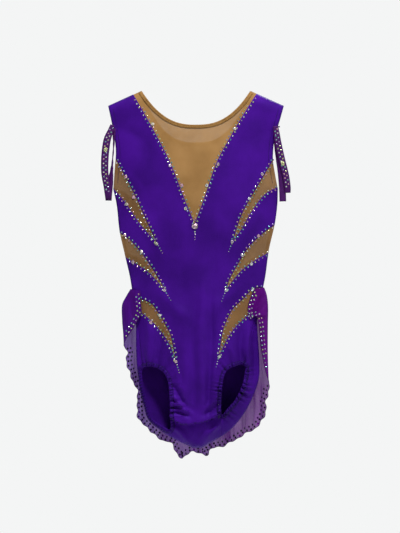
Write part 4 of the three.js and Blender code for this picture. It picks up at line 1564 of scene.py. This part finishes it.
def fuse(piece: bpy.types.Object, apart: float) -> None:
    """Merges a mesh's points that lie closer than a distance in millimetres."""
    work = bmesh.new()
    work.from_mesh(piece.data)
    bmesh.ops.remove_doubles(work, verts=work.verts, dist=apart * MM)
    work.to_mesh(piece.data)
    work.free()
    piece.data.polygons.foreach_set("use_smooth", [True] * len(piece.data.polygons))


def tube(course: np.ndarray, radius: float, sides: int) -> tuple[np.ndarray, np.ndarray]:
    """A thin closed tube along points, as points and triangles."""
    along = np.gradient(course, axis=0)
    along /= np.linalg.norm(along, axis=1, keepdims=True)
    first = np.cross(along, (0.0, 1.0, 0.0))
    first /= np.maximum(np.linalg.norm(first, axis=1, keepdims=True), 1e-9)
    second = np.cross(along, first)
    turn = np.linspace(0, 2 * np.pi, sides, endpoint=False)
    rings = course[:, None] + radius * (
        np.cos(turn)[None, :, None] * first[:, None] + np.sin(turn)[None, :, None] * second[:, None])
    points = rings.reshape(-1, 3)
    faces = []
    for i in range(len(course) - 1):
        for a in range(sides):
            b = (a + 1) % sides
            p, q, r, s = i * sides + a, i * sides + b, (i + 1) * sides + b, (i + 1) * sides + a
            faces += [(p, q, r), (p, r, s)]
    last = (len(course) - 1) * sides
    faces += [(0, a + 1, a) for a in range(1, sides - 1)]
    faces += [(last, last + a, last + a + 1) for a in range(1, sides - 1)]
    return points, np.array(faces)


# ---- The arm bands --------------------------------------------------------------------------


@dataclass(frozen=True)
class Ribbon:
    """One leg of an arm band: (x, y, z, width, turn in degrees) stations down from the tack."""

    stations: tuple[tuple[float, float, float, float, float], ...]

    def frames(self, pitch: float) -> tuple[np.ndarray, np.ndarray, np.ndarray, np.ndarray]:
        """Its centre points, sideways directions, facing directions and half widths."""
        data = smooth_line(self.stations, pitch)
        centre, width, turn = data[:, :3], data[:, 3], np.radians(data[:, 4])
        along = np.gradient(centre, axis=0)
        along /= np.linalg.norm(along, axis=1, keepdims=True)
        side = np.cross(along, (0.0, -1.0, 0.0))
        side /= np.linalg.norm(side, axis=1, keepdims=True)
        out = np.cross(side, along)
        facing = out * np.cos(turn)[:, None] + side * np.sin(turn)[:, None]
        return centre, np.cross(along, facing), facing, width / 2

    def length(self) -> float:
        """Its length along the centre."""
        centre = self.frames(2.0)[0]
        return float(np.linalg.norm(np.diff(centre, axis=0), axis=1).sum())

    def shell(self, thick: float) -> tuple[np.ndarray, list[tuple[int, ...]]]:
        """Its closed surface: a flat section with a soft crown and rolled edges."""
        centre, side, facing, half = self.frames(1.6)
        across = np.array([-1, -0.92, -0.5, 0, 0.5, 0.92, 1, 0.92, 0.5, 0, -0.5, -0.92])
        out = np.array([0, 0.5, 0.5, 0.5, 0.5, 0.5, 0, -0.5, -0.5, -0.5, -0.5, -0.5]) * thick
        crown = 0.9 * (1 - across**2)
        wave = 0.35 * np.sin(np.arange(len(centre)) * 0.5)[:, None] * across[None, :]
        shift = (out + crown)[None, :] + wave
        points = (centre[:, None] + side[:, None] * (half[:, None] * across[None, :])[..., None]
                  + facing[:, None] * shift[..., None]).reshape(-1, 3)
        return points, ring_faces(len(centre), len(across))


@dataclass
class ArmBands:
    """The two ribbon loops, each with a leg set with stones and a plain leg."""

    width: float = 12.5
    thick: float = 0.9
    left_crystal: Ribbon = Ribbon((
        (-155, -14.6, -64, 8, 0), (-158.5, -14.6, -75, 11, 0), (-164.4, -14.4, -90, 13.5, 0),
        (-167.6, -14, -108, 14, 0), (-169.4, -13.6, -130, 14, 0), (-169.2, -13, -154, 13.5, 0),
        (-165.5, -12.4, -178, 12.5, 0), (-163.5, -11.5, -194, 12, 0), (-162.5, -9.4, -201, 12, 0)))
    left_plain: Ribbon = Ribbon((
        (-153.5, -9.5, -70, 9, 0), (-152.5, -9, -84, 6.5, 35), (-153, -8.6, -104, 4.6, 62),
        (-154.5, -8.4, -124, 4.2, 66), (-156.5, -8.2, -146, 7, 40), (-159.5, -8.0, -170, 11.5, 12),
        (-162, -8.0, -190, 12.5, 0), (-162.6, -8.4, -204.5, 11.5, 0)))
    right_crystal: Ribbon = Ribbon((
        (148, -14.6, -66, 9, 0), (150, -14.6, -82, 12, 0), (153.6, -14.4, -102.5, 12.5, 0),
        (160, -14, -130.5, 12.5, 0), (166.4, -13.4, -156, 12.5, 0), (170, -12.4, -178, 12, 0),
        (170.5, -10.4, -190, 11, 0)))
    right_plain: Ribbon = Ribbon((
        (150, -9.5, -72, 9, 0), (149.5, -9, -90, 10.5, 10), (152.5, -8.4, -118, 11, 20),
        (157.6, -8.0, -150, 12, 10), (160.6, -8.0, -180, 12.5, 0), (161.6, -8.6, -206, 12.5, 0)))

    def legs(self) -> dict[str, Ribbon]:
        """The four legs, by the name of the CAD node that each replaces."""
        return {
            "left_crystal_arm_band": self.left_crystal, "left_plain_arm_band": self.left_plain,
            "right_crystal_arm_band": self.right_crystal, "right_plain_arm_band": self.right_plain,
        }

    def rows(self, side: str) -> list[tuple[np.ndarray, np.ndarray]]:
        """The stones' places on a side's crystal leg: points and normals, in two rows."""
        centre, across, facing, _ = self.legs()[f"{side}_crystal_arm_band"].frames(2.0)
        result = []
        for offset, start in ((-2.2, 3), (2.2, 5)):
            line = centre + across * offset + facing * (self.thick / 2 + 0.75)
            at = np.arange(start, len(line) - 6, 4)
            result.append((line[at], facing[at]))
        return result

    def tack(self, side: str) -> None:
        """The close-wound bar tack that holds both legs to the armhole."""
        sign = -1.0 if side == "left" else 1.0
        turn = np.arange(0, 9 * 2 * np.pi, 0.42)
        x = sign * (152.6 + turn * 0.055)
        wound = np.stack([x, -11.6 + 3.9 * np.cos(turn), -67.2 + np.sin(turn)], 1)
        points, faces = tube(wound, 0.32, 6)
        piece = make_mesh(f"{side}_bar_tack", points, faces, [WARDROBE["violet thread"]])
        finish_piece(piece, [f"{side}_band_tack"])

    def build(self) -> None:
        """Makes the four legs."""
        for node, leg in self.legs().items():
            side = node.split("_")[0]
            if "crystal" in node:
                self.tack(side)
            piece = make_mesh(f"{node}_ribbon", *leg.shell(self.thick), [WARDROBE["ribbon"]])
            face_outwards(piece)
            finish_piece(piece, [node], f"{side}_arm_band")
            size = (self.width * MM, leg.length() * MM)
            size[0] * size[1] * 0.9


# ---- Crystals and stitches ------------------------------------------------------------------

ROW_TINTS = (
    "f4f4e4", "f4f0a8", "dcecaa", "a4e0d2", "84ccd0", "b0b4e8", "c8a8e4", "f4b8cc", "ffffff", "a8c4d0",
)
ACCENT_TINTS = ("fbd6e4", "f6e4f8", "fff3e2", "eef6ee", "fcc4dc", "ffffff", "f4dcf4")


@dataclass
class Settings:
    """Places for repeated small things: points, normals, headings and sizes."""

    points: list[np.ndarray] = field(default_factory=list)
    normals: list[np.ndarray] = field(default_factory=list)
    headings: list[np.ndarray] = field(default_factory=list)
    sizes: list[np.ndarray] = field(default_factory=list)

    def add(self, points: np.ndarray, normals: np.ndarray, size: float | np.ndarray,
            headings: np.ndarray | None = None) -> None:
        """Adds places of one size, or of a size each."""
        points = np.atleast_2d(points)
        self.points.append(points)
        self.normals.append(np.atleast_2d(normals))
        self.headings.append(np.atleast_2d(headings) if headings is not None else
                             np.tile((0.0, 0.0, 1.0), (len(points), 1)))
        self.sizes.append(np.broadcast_to(np.asarray(size, float), (len(points),)))

    def cloud(self, name: str, seed: int, palette: Sequence[str] = ROW_TINTS) -> bpy.types.Object:
        """A mesh of loose points that carries the places as attributes."""
        points = np.vstack(self.points)
        count = len(points)
        mesh = bpy.data.meshes.new(name)
        mesh.from_pydata((points * MM).tolist(), [], [])
        rng = np.random.default_rng(seed)
        tints = np.array([srgb(code) for code in palette])[rng.integers(0, len(palette), count)]
        for key, kind, values in (
                ("facing", "FLOAT_VECTOR", np.vstack(self.normals)),
                ("heading", "FLOAT_VECTOR", np.vstack(self.headings)),
                ("tint", "FLOAT_COLOR", tints)):
            slot = mesh.attributes.new(key, kind, "POINT")
            slot.data.foreach_set("color" if kind == "FLOAT_COLOR" else "vector",
                                  np.ascontiguousarray(values, np.float32).ravel())
        slot = mesh.attributes.new("size", "FLOAT", "POINT")
        slot.data.foreach_set("value", np.concatenate(self.sizes).astype(np.float32) * MM)
        made = bpy.data.objects.new(name, mesh)
        bpy.context.scene.collection.objects.link(made)
        return made


def stone_mesh(facets: int = 8) -> bpy.types.Object:
    """A flat-back stone of radius 1: table, upper and lower facets, girdle and foil base."""
    turn = np.linspace(0, 2 * np.pi, facets, endpoint=False)
    half = np.pi / facets
    table = [(0.52 * math.cos(a), 0.52 * math.sin(a), 0.50) for a in turn]
    waist = [(0.84 * math.cos(a + half), 0.84 * math.sin(a + half), 0.30) for a in turn]
    rim = [(math.cos(a), math.sin(a), 0.06) for a in turn]
    base = [(0.94 * math.cos(a), 0.94 * math.sin(a), -0.08) for a in turn]
    points = [(0.0, 0.0, 0.53), *table, *waist, *rim, *base]
    t, w, r, b = 1, 1 + facets, 1 + 2 * facets, 1 + 3 * facets
    faces: list[tuple[int, ...]] = []
    for i in range(facets):
        j = (i + 1) % facets
        faces += [(0, t + i, t + j), (t + i, w + i, t + j), (w + i, r + j, t + j)]
        faces += [(w + i, r + i, r + j), (t + j, r + j, w + j)]
        faces += [(r + i, b + i, b + j, r + j)]
    faces.append(tuple(b + i for i in range(facets))[::-1])
    return template("stone", points, faces)


def template(name: str, points: Sequence[Sequence[float]], faces: Sequence[Sequence[int]]
             ) -> bpy.types.Object:
    """A hidden unit shape that the node trees copy."""
    mesh = bpy.data.meshes.new(name)
    mesh.from_pydata([tuple(p) for p in points], [], [tuple(f) for f in faces])
    made = bpy.data.objects.new(name, mesh)
    bpy.context.scene.collection.objects.link(made)
    return made


class NodeTree:
    """A Geometry Nodes tree, built in code."""

    def __init__(self, name: str, inputs: dict[str, tuple[str, object]]) -> None:
        """Starts a tree.

        Args:
            name: the tree's name.
            inputs: its named inputs, as (socket type, default value).
        """
        self.tree = bpy.data.node_groups.new(name, "GeometryNodeTree")
        self.keys: dict[str, str] = {}
        interface = self.tree.interface
        interface.new_socket("Geometry", in_out="INPUT", socket_type="NodeSocketGeometry")
        for label, (kind, value) in inputs.items():
            socket = interface.new_socket(label, in_out="INPUT", socket_type=kind)
            if value is not None:
                socket.default_value = value
            self.keys[label] = socket.identifier
        interface.new_socket("Geometry", in_out="OUTPUT", socket_type="NodeSocketGeometry")
        self.start = self.tree.nodes.new("NodeGroupInput")
        self.end = self.tree.nodes.new("NodeGroupOutput")

    def node(self, kind: str, settings: dict[str, object] | None = None,
             inputs: dict[int | str, object] | None = None) -> bpy.types.Node:
        """Adds a node with its settings, and its sockets' values or links."""
        made = self.tree.nodes.new(kind)
        for name, value in (settings or {}).items():
            setattr(made, name, value)
        for key, value in (inputs or {}).items():
            if isinstance(value, bpy.types.NodeSocket):
                self.tree.links.new(value, made.inputs[key])
            else:
                made.inputs[key].default_value = value
        return made

    def field(self, name: str, kind: str) -> bpy.types.NodeSocket:
        """A named attribute's value."""
        made = self.node("GeometryNodeInputNamedAttribute", {"data_type": kind}, {"Name": name})
        return made.outputs["Attribute"]

    def finish(self, geometry_out: bpy.types.NodeSocket) -> None:
        """Ends the tree in Realize Instances and Set Material."""
        real = self.node("GeometryNodeRealizeInstances", None, {"Geometry": geometry_out})
        dressed = self.node("GeometryNodeSetMaterial", None, {
            "Geometry": real.outputs[0], "Material": self.start.outputs["Material"]})
        self.tree.links.new(dressed.outputs[0], self.end.inputs[0])


def copies_tree(name: str) -> NodeTree:
    """A tree that sets a shape on each point, facing its normal and along its heading."""
    tree = NodeTree(name, {
        "Shape": ("NodeSocketObject", None), "Material": ("NodeSocketMaterial", None),
        "Size": ("NodeSocketFloat", 1.0), "Spin": ("NodeSocketFloat", 0.0),
        "Seed": ("NodeSocketInt", 7),
    })
    shape = tree.node("GeometryNodeObjectInfo", None, {"Object": tree.start.outputs["Shape"]})
    facing = tree.node("FunctionNodeAlignRotationToVector", {"axis": "Z"},
                       {"Vector": tree.field("facing", "FLOAT_VECTOR")})
    heading = tree.node("FunctionNodeAlignRotationToVector", {"axis": "X", "pivot_axis": "Z"}, {
        "Rotation": facing.outputs[0], "Vector": tree.field("heading", "FLOAT_VECTOR")})
    random = tree.node("FunctionNodeRandomValue", {"data_type": "FLOAT"}, {
        "Min": 0.0, "Max": 1.0, "Seed": tree.start.outputs["Seed"]})
    amount = next(s for s in random.outputs if s.enabled)
    spin = tree.node("ShaderNodeMath", {"operation": "MULTIPLY"},
                     {0: amount, 1: tree.start.outputs["Spin"]})
    turn = tree.node("FunctionNodeAxisAngleToRotation", None,
                     {"Axis": (0.0, 0.0, 1.0), "Angle": spin.outputs[0]})
    rotation = tree.node("FunctionNodeRotateRotation", {"rotation_space": "LOCAL"}, {
        0: heading.outputs[0], 1: turn.outputs[0]})
    size = tree.node("ShaderNodeMath", {"operation": "MULTIPLY"}, {
        0: tree.field("size", "FLOAT"), 1: tree.start.outputs["Size"]})
    points = tree.node("GeometryNodeMeshToPoints", None, {"Mesh": tree.start.outputs["Geometry"]})
    placed = tree.node("GeometryNodeInstanceOnPoints", None, {
        "Points": points.outputs[0], "Instance": shape.outputs["Geometry"],
        "Rotation": rotation.outputs[0], "Scale": size.outputs[0]})
    tree.finish(placed.outputs[0])
    return tree


def scatter(cloud: bpy.types.Object, tree: NodeTree, shape: bpy.types.Object,
            material: bpy.types.Material, name: str, **values: float) -> bpy.types.Object:
    """Runs a copying tree on a cloud of points and keeps the plain mesh.

    Args:
        cloud: the points, with their attributes.
        tree: the copying tree.
        shape: the unit shape to copy.
        material: the copies' material.
        name: the new piece's name.
        **values: other inputs of the tree, by name.

    Returns:
        The plain mesh object.
    """
    modifier = cloud.modifiers.new("copies", "NODES")
    modifier.node_group = tree.tree
    for label, value in {"Shape": shape, "Material": material, **values}.items():
        modifier[tree.keys[label]] = value
    graph = bpy.context.evaluated_depsgraph_get()
    mesh = bpy.data.meshes.new_from_object(
        cloud.evaluated_get(graph), preserve_all_data_layers=True, depsgraph=graph)
    mesh.name = name
    cloud.modifiers.remove(modifier)
    bpy.data.objects.remove(cloud)
    made = bpy.data.objects.new(name, mesh)
    bpy.context.scene.collection.objects.link(made)
    return made


@dataclass
class Jewels:
    """Every crystal: rows along the panel edges, accents, and the rows on skirt and bands."""

    skirt: Skirt
    bands: ArmBands
    small: float = 1.47
    hem: float = 2.15
    medium: float = 3.15
    pitch: float = 8.2
    facets: int = 8

    def edge_rows(self, into: Settings) -> None:
        """Two staggered rows along each seam between satin and mesh."""
        for line, sign in ((FRONT_VEE[0], 1), (FRONT_VEE[1][::-1], -1)):
            for offset, start, top in ((3.0, 0.35, -12), (-2.6, 0.85, -27)):
                at = self.march(line, start, -offset * sign)
                self.lay(at[at[:, 1] < top], into)
        for slash in FRONT_SLASHES.values():
            side = math.copysign(1.0, slash.upper[0][0])
            for line in slash.edges(1.0):
                for offset, start in ((2.8, 0.4), (-2.4, 0.9)):
                    at = self.march(line, start, -offset * side)
                    inset = np.abs(FRONT.across(at[:, 0], at[:, 1])) < 0.985
                    self.lay(at[inset], into)
            tip, before = np.array(slash.upper[-1]), np.array(slash.upper[-2])
            away = (tip - before) / np.linalg.norm(tip - before)
            away = away + (0.12 * -side, -0.1)
            trail = np.array([tip + away * d for d in (5.5, 10.0, 14.5, 19.0)])
            self.lay(trail, into, np.array([1.25, 1.1, 0.95, 0.8]))

    def back_rows(self, into: Settings) -> None:
        """One row on the satin side of each seam of the back."""
        for i, line in enumerate(BACK_VEE):
            at = self.march(line if i == 0 else line[::-1], 0.4, -3.0 if i == 0 else 3.0)
            self.lay(at[at[:, 1] < -14], into, None, BACK)
        for slash in BACK_SLASHES.values():
            side = math.copysign(1.0, slash.upper[0][0])
            for line in slash.edges(1.0):
                at = self.march(line, 0.4, -2.8 * side)
                inset = (np.abs(BACK.across(at[:, 0], at[:, 1])) < 0.985) & (at[:, 1] > SKIRT_TOP + 4)
                self.lay(at[inset], into, None, BACK)

    def march(self, line: np.ndarray, start: float, offset: float) -> np.ndarray:
        """Places at the rows' pitch along a line, moved to its left by an offset."""
        line = evenly(line, 0.5)
        side = left_normals(line)
        step = self.pitch / 0.5
        at = np.arange(start * step, len(line) - 4, step).astype(int)
        return line[at] + side[at] * offset

    def lay(self, at: np.ndarray, into: Settings, size: float | np.ndarray | None = None,
            face: Face = FRONT) -> None:
        """Sets stones on a face of the cloth."""
        if len(at):
            points = face.raised(at, 0.62)
            into.add(points, face.normal(at[:, 0], at[:, 1]), self.small if size is None else size)

    def accents(self, into: Settings) -> None:
        """The medium stones and the large centre one."""
        medium = (
            (-80, -63), (-48, -140), (-26, -177), (-19, -220), (41, -138), (20, -177), (72, -72),
            (-130, -160), (-116, -198), (-129, -211), (-73, -285), (123, -155), (99, -201), (67, -281),
            (-132, -268), (-101, -300), (-117, -319), (-58, -371), (116, -270), (86, -306), (103, -322),
            (56, -371), (-67, -418), (-84, -431), (-37, -503), (106, -369), (43, -494),
        )
        at = np.array(medium, float)
        into.add(FRONT.raised(at, 0.7), FRONT.normal(at[:, 0], at[:, 1]), self.medium)
        centre = np.array([(-2.0, -252.0)])
        into.add(FRONT.raised(centre, 1.0), FRONT.normal(centre[:, 0], centre[:, 1]), 6.0)
        trail = np.array([(-2, -262.5), (-1.6, -267.5), (-1.8, -272.5), (-2, -277)])
        self.lay(trail, into, np.array([1.5, 1.3, 1.1, 0.9]))

    def build(self) -> None:
        """Makes the stones of each body."""
        tree, shape = copies_tree("set stones"), stone_mesh(self.facets)
        self.kites()
        rows, accents, hem = Settings(), Settings(), Settings()
        self.edge_rows(rows)
        self.back_rows(rows)
        self.accents(accents)
        for i, (points, normals) in enumerate(self.skirt.rows()):
            hem.add(points, normals, self.hem if i < 2 else self.small)
        stones = [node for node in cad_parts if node.endswith("_stone") or "_neck_stone_" in node]
        jobs = [("edge_crystals", rows, "root", ()), ("accent_crystals", accents, "root", stones),
                ("skirt_crystals", hem, None, ())]
        for side in ("left", "right"):
            band = Settings()
            for points, normals in self.bands.rows(side):
                band.add(points, normals, 1.5)
            jobs.append((f"{side}_band_crystals", band, f"{side}_arm_band", ()))
        for i, (name, settings, body, replaced) in enumerate(jobs):
            palette = ACCENT_TINTS if name.startswith("accent") else ROW_TINTS
            cloud = settings.cloud(f"{name}_places", 100 + i, palette)
            piece = scatter(cloud, tree, shape, WARDROBE["crystal"], name, Spin=2 * math.pi, Seed=i)
            self.cut_facets(piece, i)
            finish_piece(piece, replaced, body)
            if body is None:
                self.skirt.swing(piece)
        bpy.data.objects.remove(shape)

    def kites(self) -> None:
        """The long stone in the middle of each arm band."""
        for side, height in (("left", -110.0), ("right", -135.0)):
            centre, across, facing, _ = self.bands.legs()[f"{side}_crystal_arm_band"].frames(1.0)
            i = int(np.argmin(np.abs(centre[:, 2] - height)))
            along = np.cross(facing[i], across[i])
            turn = np.linspace(0, 2 * np.pi, 10, endpoint=False)
            points = [centre[i] + facing[i] * 3.3]
            for share, up in ((0.5, 2.1), (0.82, 1.5), (1.0, 0.5), (0.94, 0.0)):
                for k, a in enumerate(turn + (np.pi / 10 if share == 0.82 else 0)):
                    points.append(centre[i] + across[i] * 3.5 * share * math.cos(a)
                                  + along * 4.8 * share * math.sin(a) + facing[i] * (up + 1.0))
            n = len(turn)
            faces = [(0, 1 + k, 1 + (k + 1) % n) for k in range(n)]
            for r in range(3):
                a0, b0 = 1 + r * n, 1 + (r + 1) * n
                for k in range(n):
                    j = (k + 1) % n
                    faces += [(a0 + k, b0 + k, b0 + j), (a0 + k, b0 + j, a0 + j)]
            faces.append(tuple(1 + 3 * n + k for k in range(n))[::-1])
            piece = make_mesh(f"{side}_band_kite", np.array(points), faces, [WARDROBE["crystal"]], False)
            face_outwards(piece)
            colour = srgb("eef0b0")
            slot = piece.data.attributes.new("tint", "FLOAT_COLOR", "POINT")
            slot.data.foreach_set("color", np.tile(colour, len(points)).astype(np.float32))
            self.cut_facets(piece, 9)
            finish_piece(piece, (), f"{side}_arm_band")

    def cut_facets(self, piece: bpy.types.Object, seed: int) -> None:
        """Gives each facet its own painted glint, and the base its foil."""
        mesh = piece.data
        mesh.polygons.foreach_set("use_smooth", [False] * len(mesh.polygons))
        # A random painted glint for each facet.
        rng = np.random.default_rng(seed + 40)
        flash = rng.uniform(0, 1, len(mesh.polygons)).astype(np.float32) ** 1.3
        slot = mesh.attributes.new("flash", "FLOAT", "FACE")
        slot.data.foreach_set("value", flash)
        mesh.materials.clear()
        mesh.materials.append(WARDROBE["crystal"])
        mesh.materials.append(WARDROBE["foil"])
        sides = np.zeros(len(mesh.polygons), np.int32)
        mesh.polygons.foreach_get("loop_total", sides)
        mesh.polygons.foreach_set("material_index", (sides > 3).astype(np.int32))


def stitch_mesh() -> bpy.types.Object:
    """A stitch of unit length along X: a plump thread that dips at both ends."""
    points, faces = [], []
    for x, r, h in ((-0.5, 0.06, -0.12), (-0.3, 0.13, 0.06), (0, 0.15, 0.12), (0.3, 0.13, 0.06),
                    (0.5, 0.06, -0.12)):
        points += [(x, r * math.cos(a), h + r * math.sin(a))
                   for a in np.linspace(0, 2 * np.pi, 5, endpoint=False)]
    for i in range(4):
        faces += [(i * 5 + a, (i + 1) * 5 + a, (i + 1) * 5 + (a + 1) % 5, i * 5 + (a + 1) % 5)
                  for a in range(5)]
    faces += [(0, 1, 2, 3, 4), (24, 23, 22, 21, 20)]
    return template("stitch", points, faces)


@dataclass
class Stitching:
    """Rows of stitches: twin rows on the neck bindings, hems at the armholes, zigzag casings."""

    neck: float = 2.1
    hem: float = 2.6
    zigzag: float = 2.0

    def row(self, into: Settings, face: Face, line: np.ndarray, length: float, lift: float,
            zig: float = 0.0) -> None:
        """Adds a row of stitches along a line over a face."""
        line = evenly(line, length)
        sides = left_normals(line)
        if zig:
            swing = np.where(np.arange(len(line)) % 2 == 0, zig, -zig)[:, None]
            line = line + sides * swing
        points = face.raised(line, lift)
        heading = np.diff(points, axis=0)
        middle = (points[1:] + points[:-1]) / 2
        at = (line[1:] + line[:-1]) / 2
        into.add(middle, face.normal(at[:, 0], at[:, 1]), np.linalg.norm(heading, axis=1) * 0.86, heading)

    def build(self) -> None:
        """Makes the stitches of each thread."""
        tan, violet = Settings(), Settings()
        for face, line in ((FRONT, FRONT_NECK), (BACK, BACK_NECK)):
            part = line[np.abs(line[:, 0]) < NECK_HALF - 1.5]
            side = left_normals(part)
            for offset in (1.7, 4.9):
                self.row(tan, face, part - side * offset, self.neck, 1.32)
        for line, sign in ((LEFT_ARMHOLE, 1), (RIGHT_ARMHOLE, -1)):
            part = line[(line[:, 1] < -34) & (line[:, 1] > -172)]
            for face in (FRONT, BACK):
                self.row(violet, face, part + left_normals(part) * 8.0 * sign, self.hem, 0.62)
        for rim in LEG_RIMS.values():
            out = outward(rim)
            self.row(violet, FRONT, rim + out * 7.1, self.zigzag, 0.95, 1.0)
            self.row(violet, FRONT, rim + out * 5.0, self.zigzag * 1.3, 2.2, 0.5)
        tree, shape = copies_tree("set stitches"), stitch_mesh()
        for name, settings, finish in (("neck_stitches", tan, "tan thread"),
                                       ("hem_stitches", violet, "violet thread")):
            cloud = settings.cloud(f"{name}_places", 3)
            piece = scatter(cloud, tree, shape, WARDROBE[finish], name)
            piece.data.polygons.foreach_set("use_smooth", [True] * len(piece.data.polygons))
            finish_piece(piece)
        bpy.data.objects.remove(shape)


# ---- The studio -----------------------------------------------------------------------------


@dataclass
class Studio:
    """A pale floor, soft lights and the camera in front of the hanging garment."""

    camera_at: tuple[float, float, float] = (0.0075, -4.69, -0.327)
    lens: float = 170.0
    floor_at: float = -1.05

    def world(self) -> None:
        """A pale surround, seen brighter than it lights."""
        world = bpy.data.worlds.new("studio")
        bpy.context.scene.world = world
        world.use_nodes = True
        tree = world.node_tree
        tree.nodes.clear()
        out = tree.nodes.new("ShaderNodeOutputWorld")
        mix = tree.nodes.new("ShaderNodeMixShader")
        path = tree.nodes.new("ShaderNodeLightPath")
        seen, lit = (tree.nodes.new("ShaderNodeBackground") for _ in range(2))
        seen.inputs["Color"].default_value = srgb("f4f5f5")
        lit.inputs["Color"].default_value = srgb("f2f4f8")
        lit.inputs["Strength"].default_value = 0.3
        tree.links.new(path.outputs["Is Camera Ray"], mix.inputs[0])
        tree.links.new(lit.outputs[0], mix.inputs[1])
        tree.links.new(seen.outputs[0], mix.inputs[2])
        tree.links.new(mix.outputs[0], out.inputs[0])

    def light(self, name: str, at: tuple[float, float, float], size: float, power: float) -> None:
        """A square area light that points at the garment's middle."""
        data = bpy.data.lights.new(name, "AREA")
        data.size, data.energy = size, power
        lamp = bpy.data.objects.new(name, data)
        lamp.location = at
        aim = Vector((0, 0, -0.33)) - Vector(at)
        lamp.rotation_euler = aim.to_track_quat("-Z", "Y").to_euler()
        bpy.context.scene.collection.objects.link(lamp)

    def floor(self) -> None:
        """The pale floor below the garment."""
        g = Graph("floor")
        g.set(Base_Color=srgb("e9eaea"), Roughness=0.95, Specular_IOR_Level=0.1)
        glow = g.node("ShaderNodeEmission", None, {"Color": srgb("f4f5f5")})[0]
        seen = g.node("ShaderNodeLightPath")[0] * 0.8
        shown = g.node("ShaderNodeMixShader", None, {0: seen, 2: glow})[0]
        g.tree.links.new(g.shader.outputs[0], shown.socket.node.inputs[1])
        g.put(g.out.inputs[0], shown)
        half = 2100.0
        z = self.floor_at / MM
        points = np.array([(-half, -half, z), (half, -half, z), (half, half, z), (-half, half, z)])
        make_mesh("floor", points, [(0, 1, 2, 3)], [g.material], False)

    def camera(self) -> None:
        """The camera."""
        data = bpy.data.cameras.new("camera")
        data.lens, data.sensor_width, data.sensor_fit = self.lens, 36.0, "AUTO"
        eye = bpy.data.objects.new("camera", data)
        eye.location = self.camera_at
        eye.rotation_euler = (math.pi / 2, 0, 0)
        bpy.context.scene.collection.objects.link(eye)
        bpy.context.scene.camera = eye

    def build(self) -> None:
        """Sets up the world, the floor, the lights and the camera."""
        self.world()
        self.floor()
        self.light("key", (0.12, -0.95, 1.3), 0.3, 36)
        self.light("fill", (2.1, -1.6, 1.0), 1.0, 12)
        self.light("back", (0.6, 1.9, 0.9), 1.6, 26)
        self.camera()
        bpy.context.scene.view_settings.view_transform = "Standard"


def main() -> None:
    """Builds the leotard, sub-assembly by sub-assembly."""
    logging.basicConfig(level=logging.INFO, format="%(name)s: %(message)s")
    Studio().build()
    BodyPanels().build()
    Trims().build()
    skirt, bands = Skirt(), ArmBands()
    skirt.build()
    bands.build()
    Jewels(skirt, bands).build()
    Stitching().build()


if __name__ == "__main__":
    main()
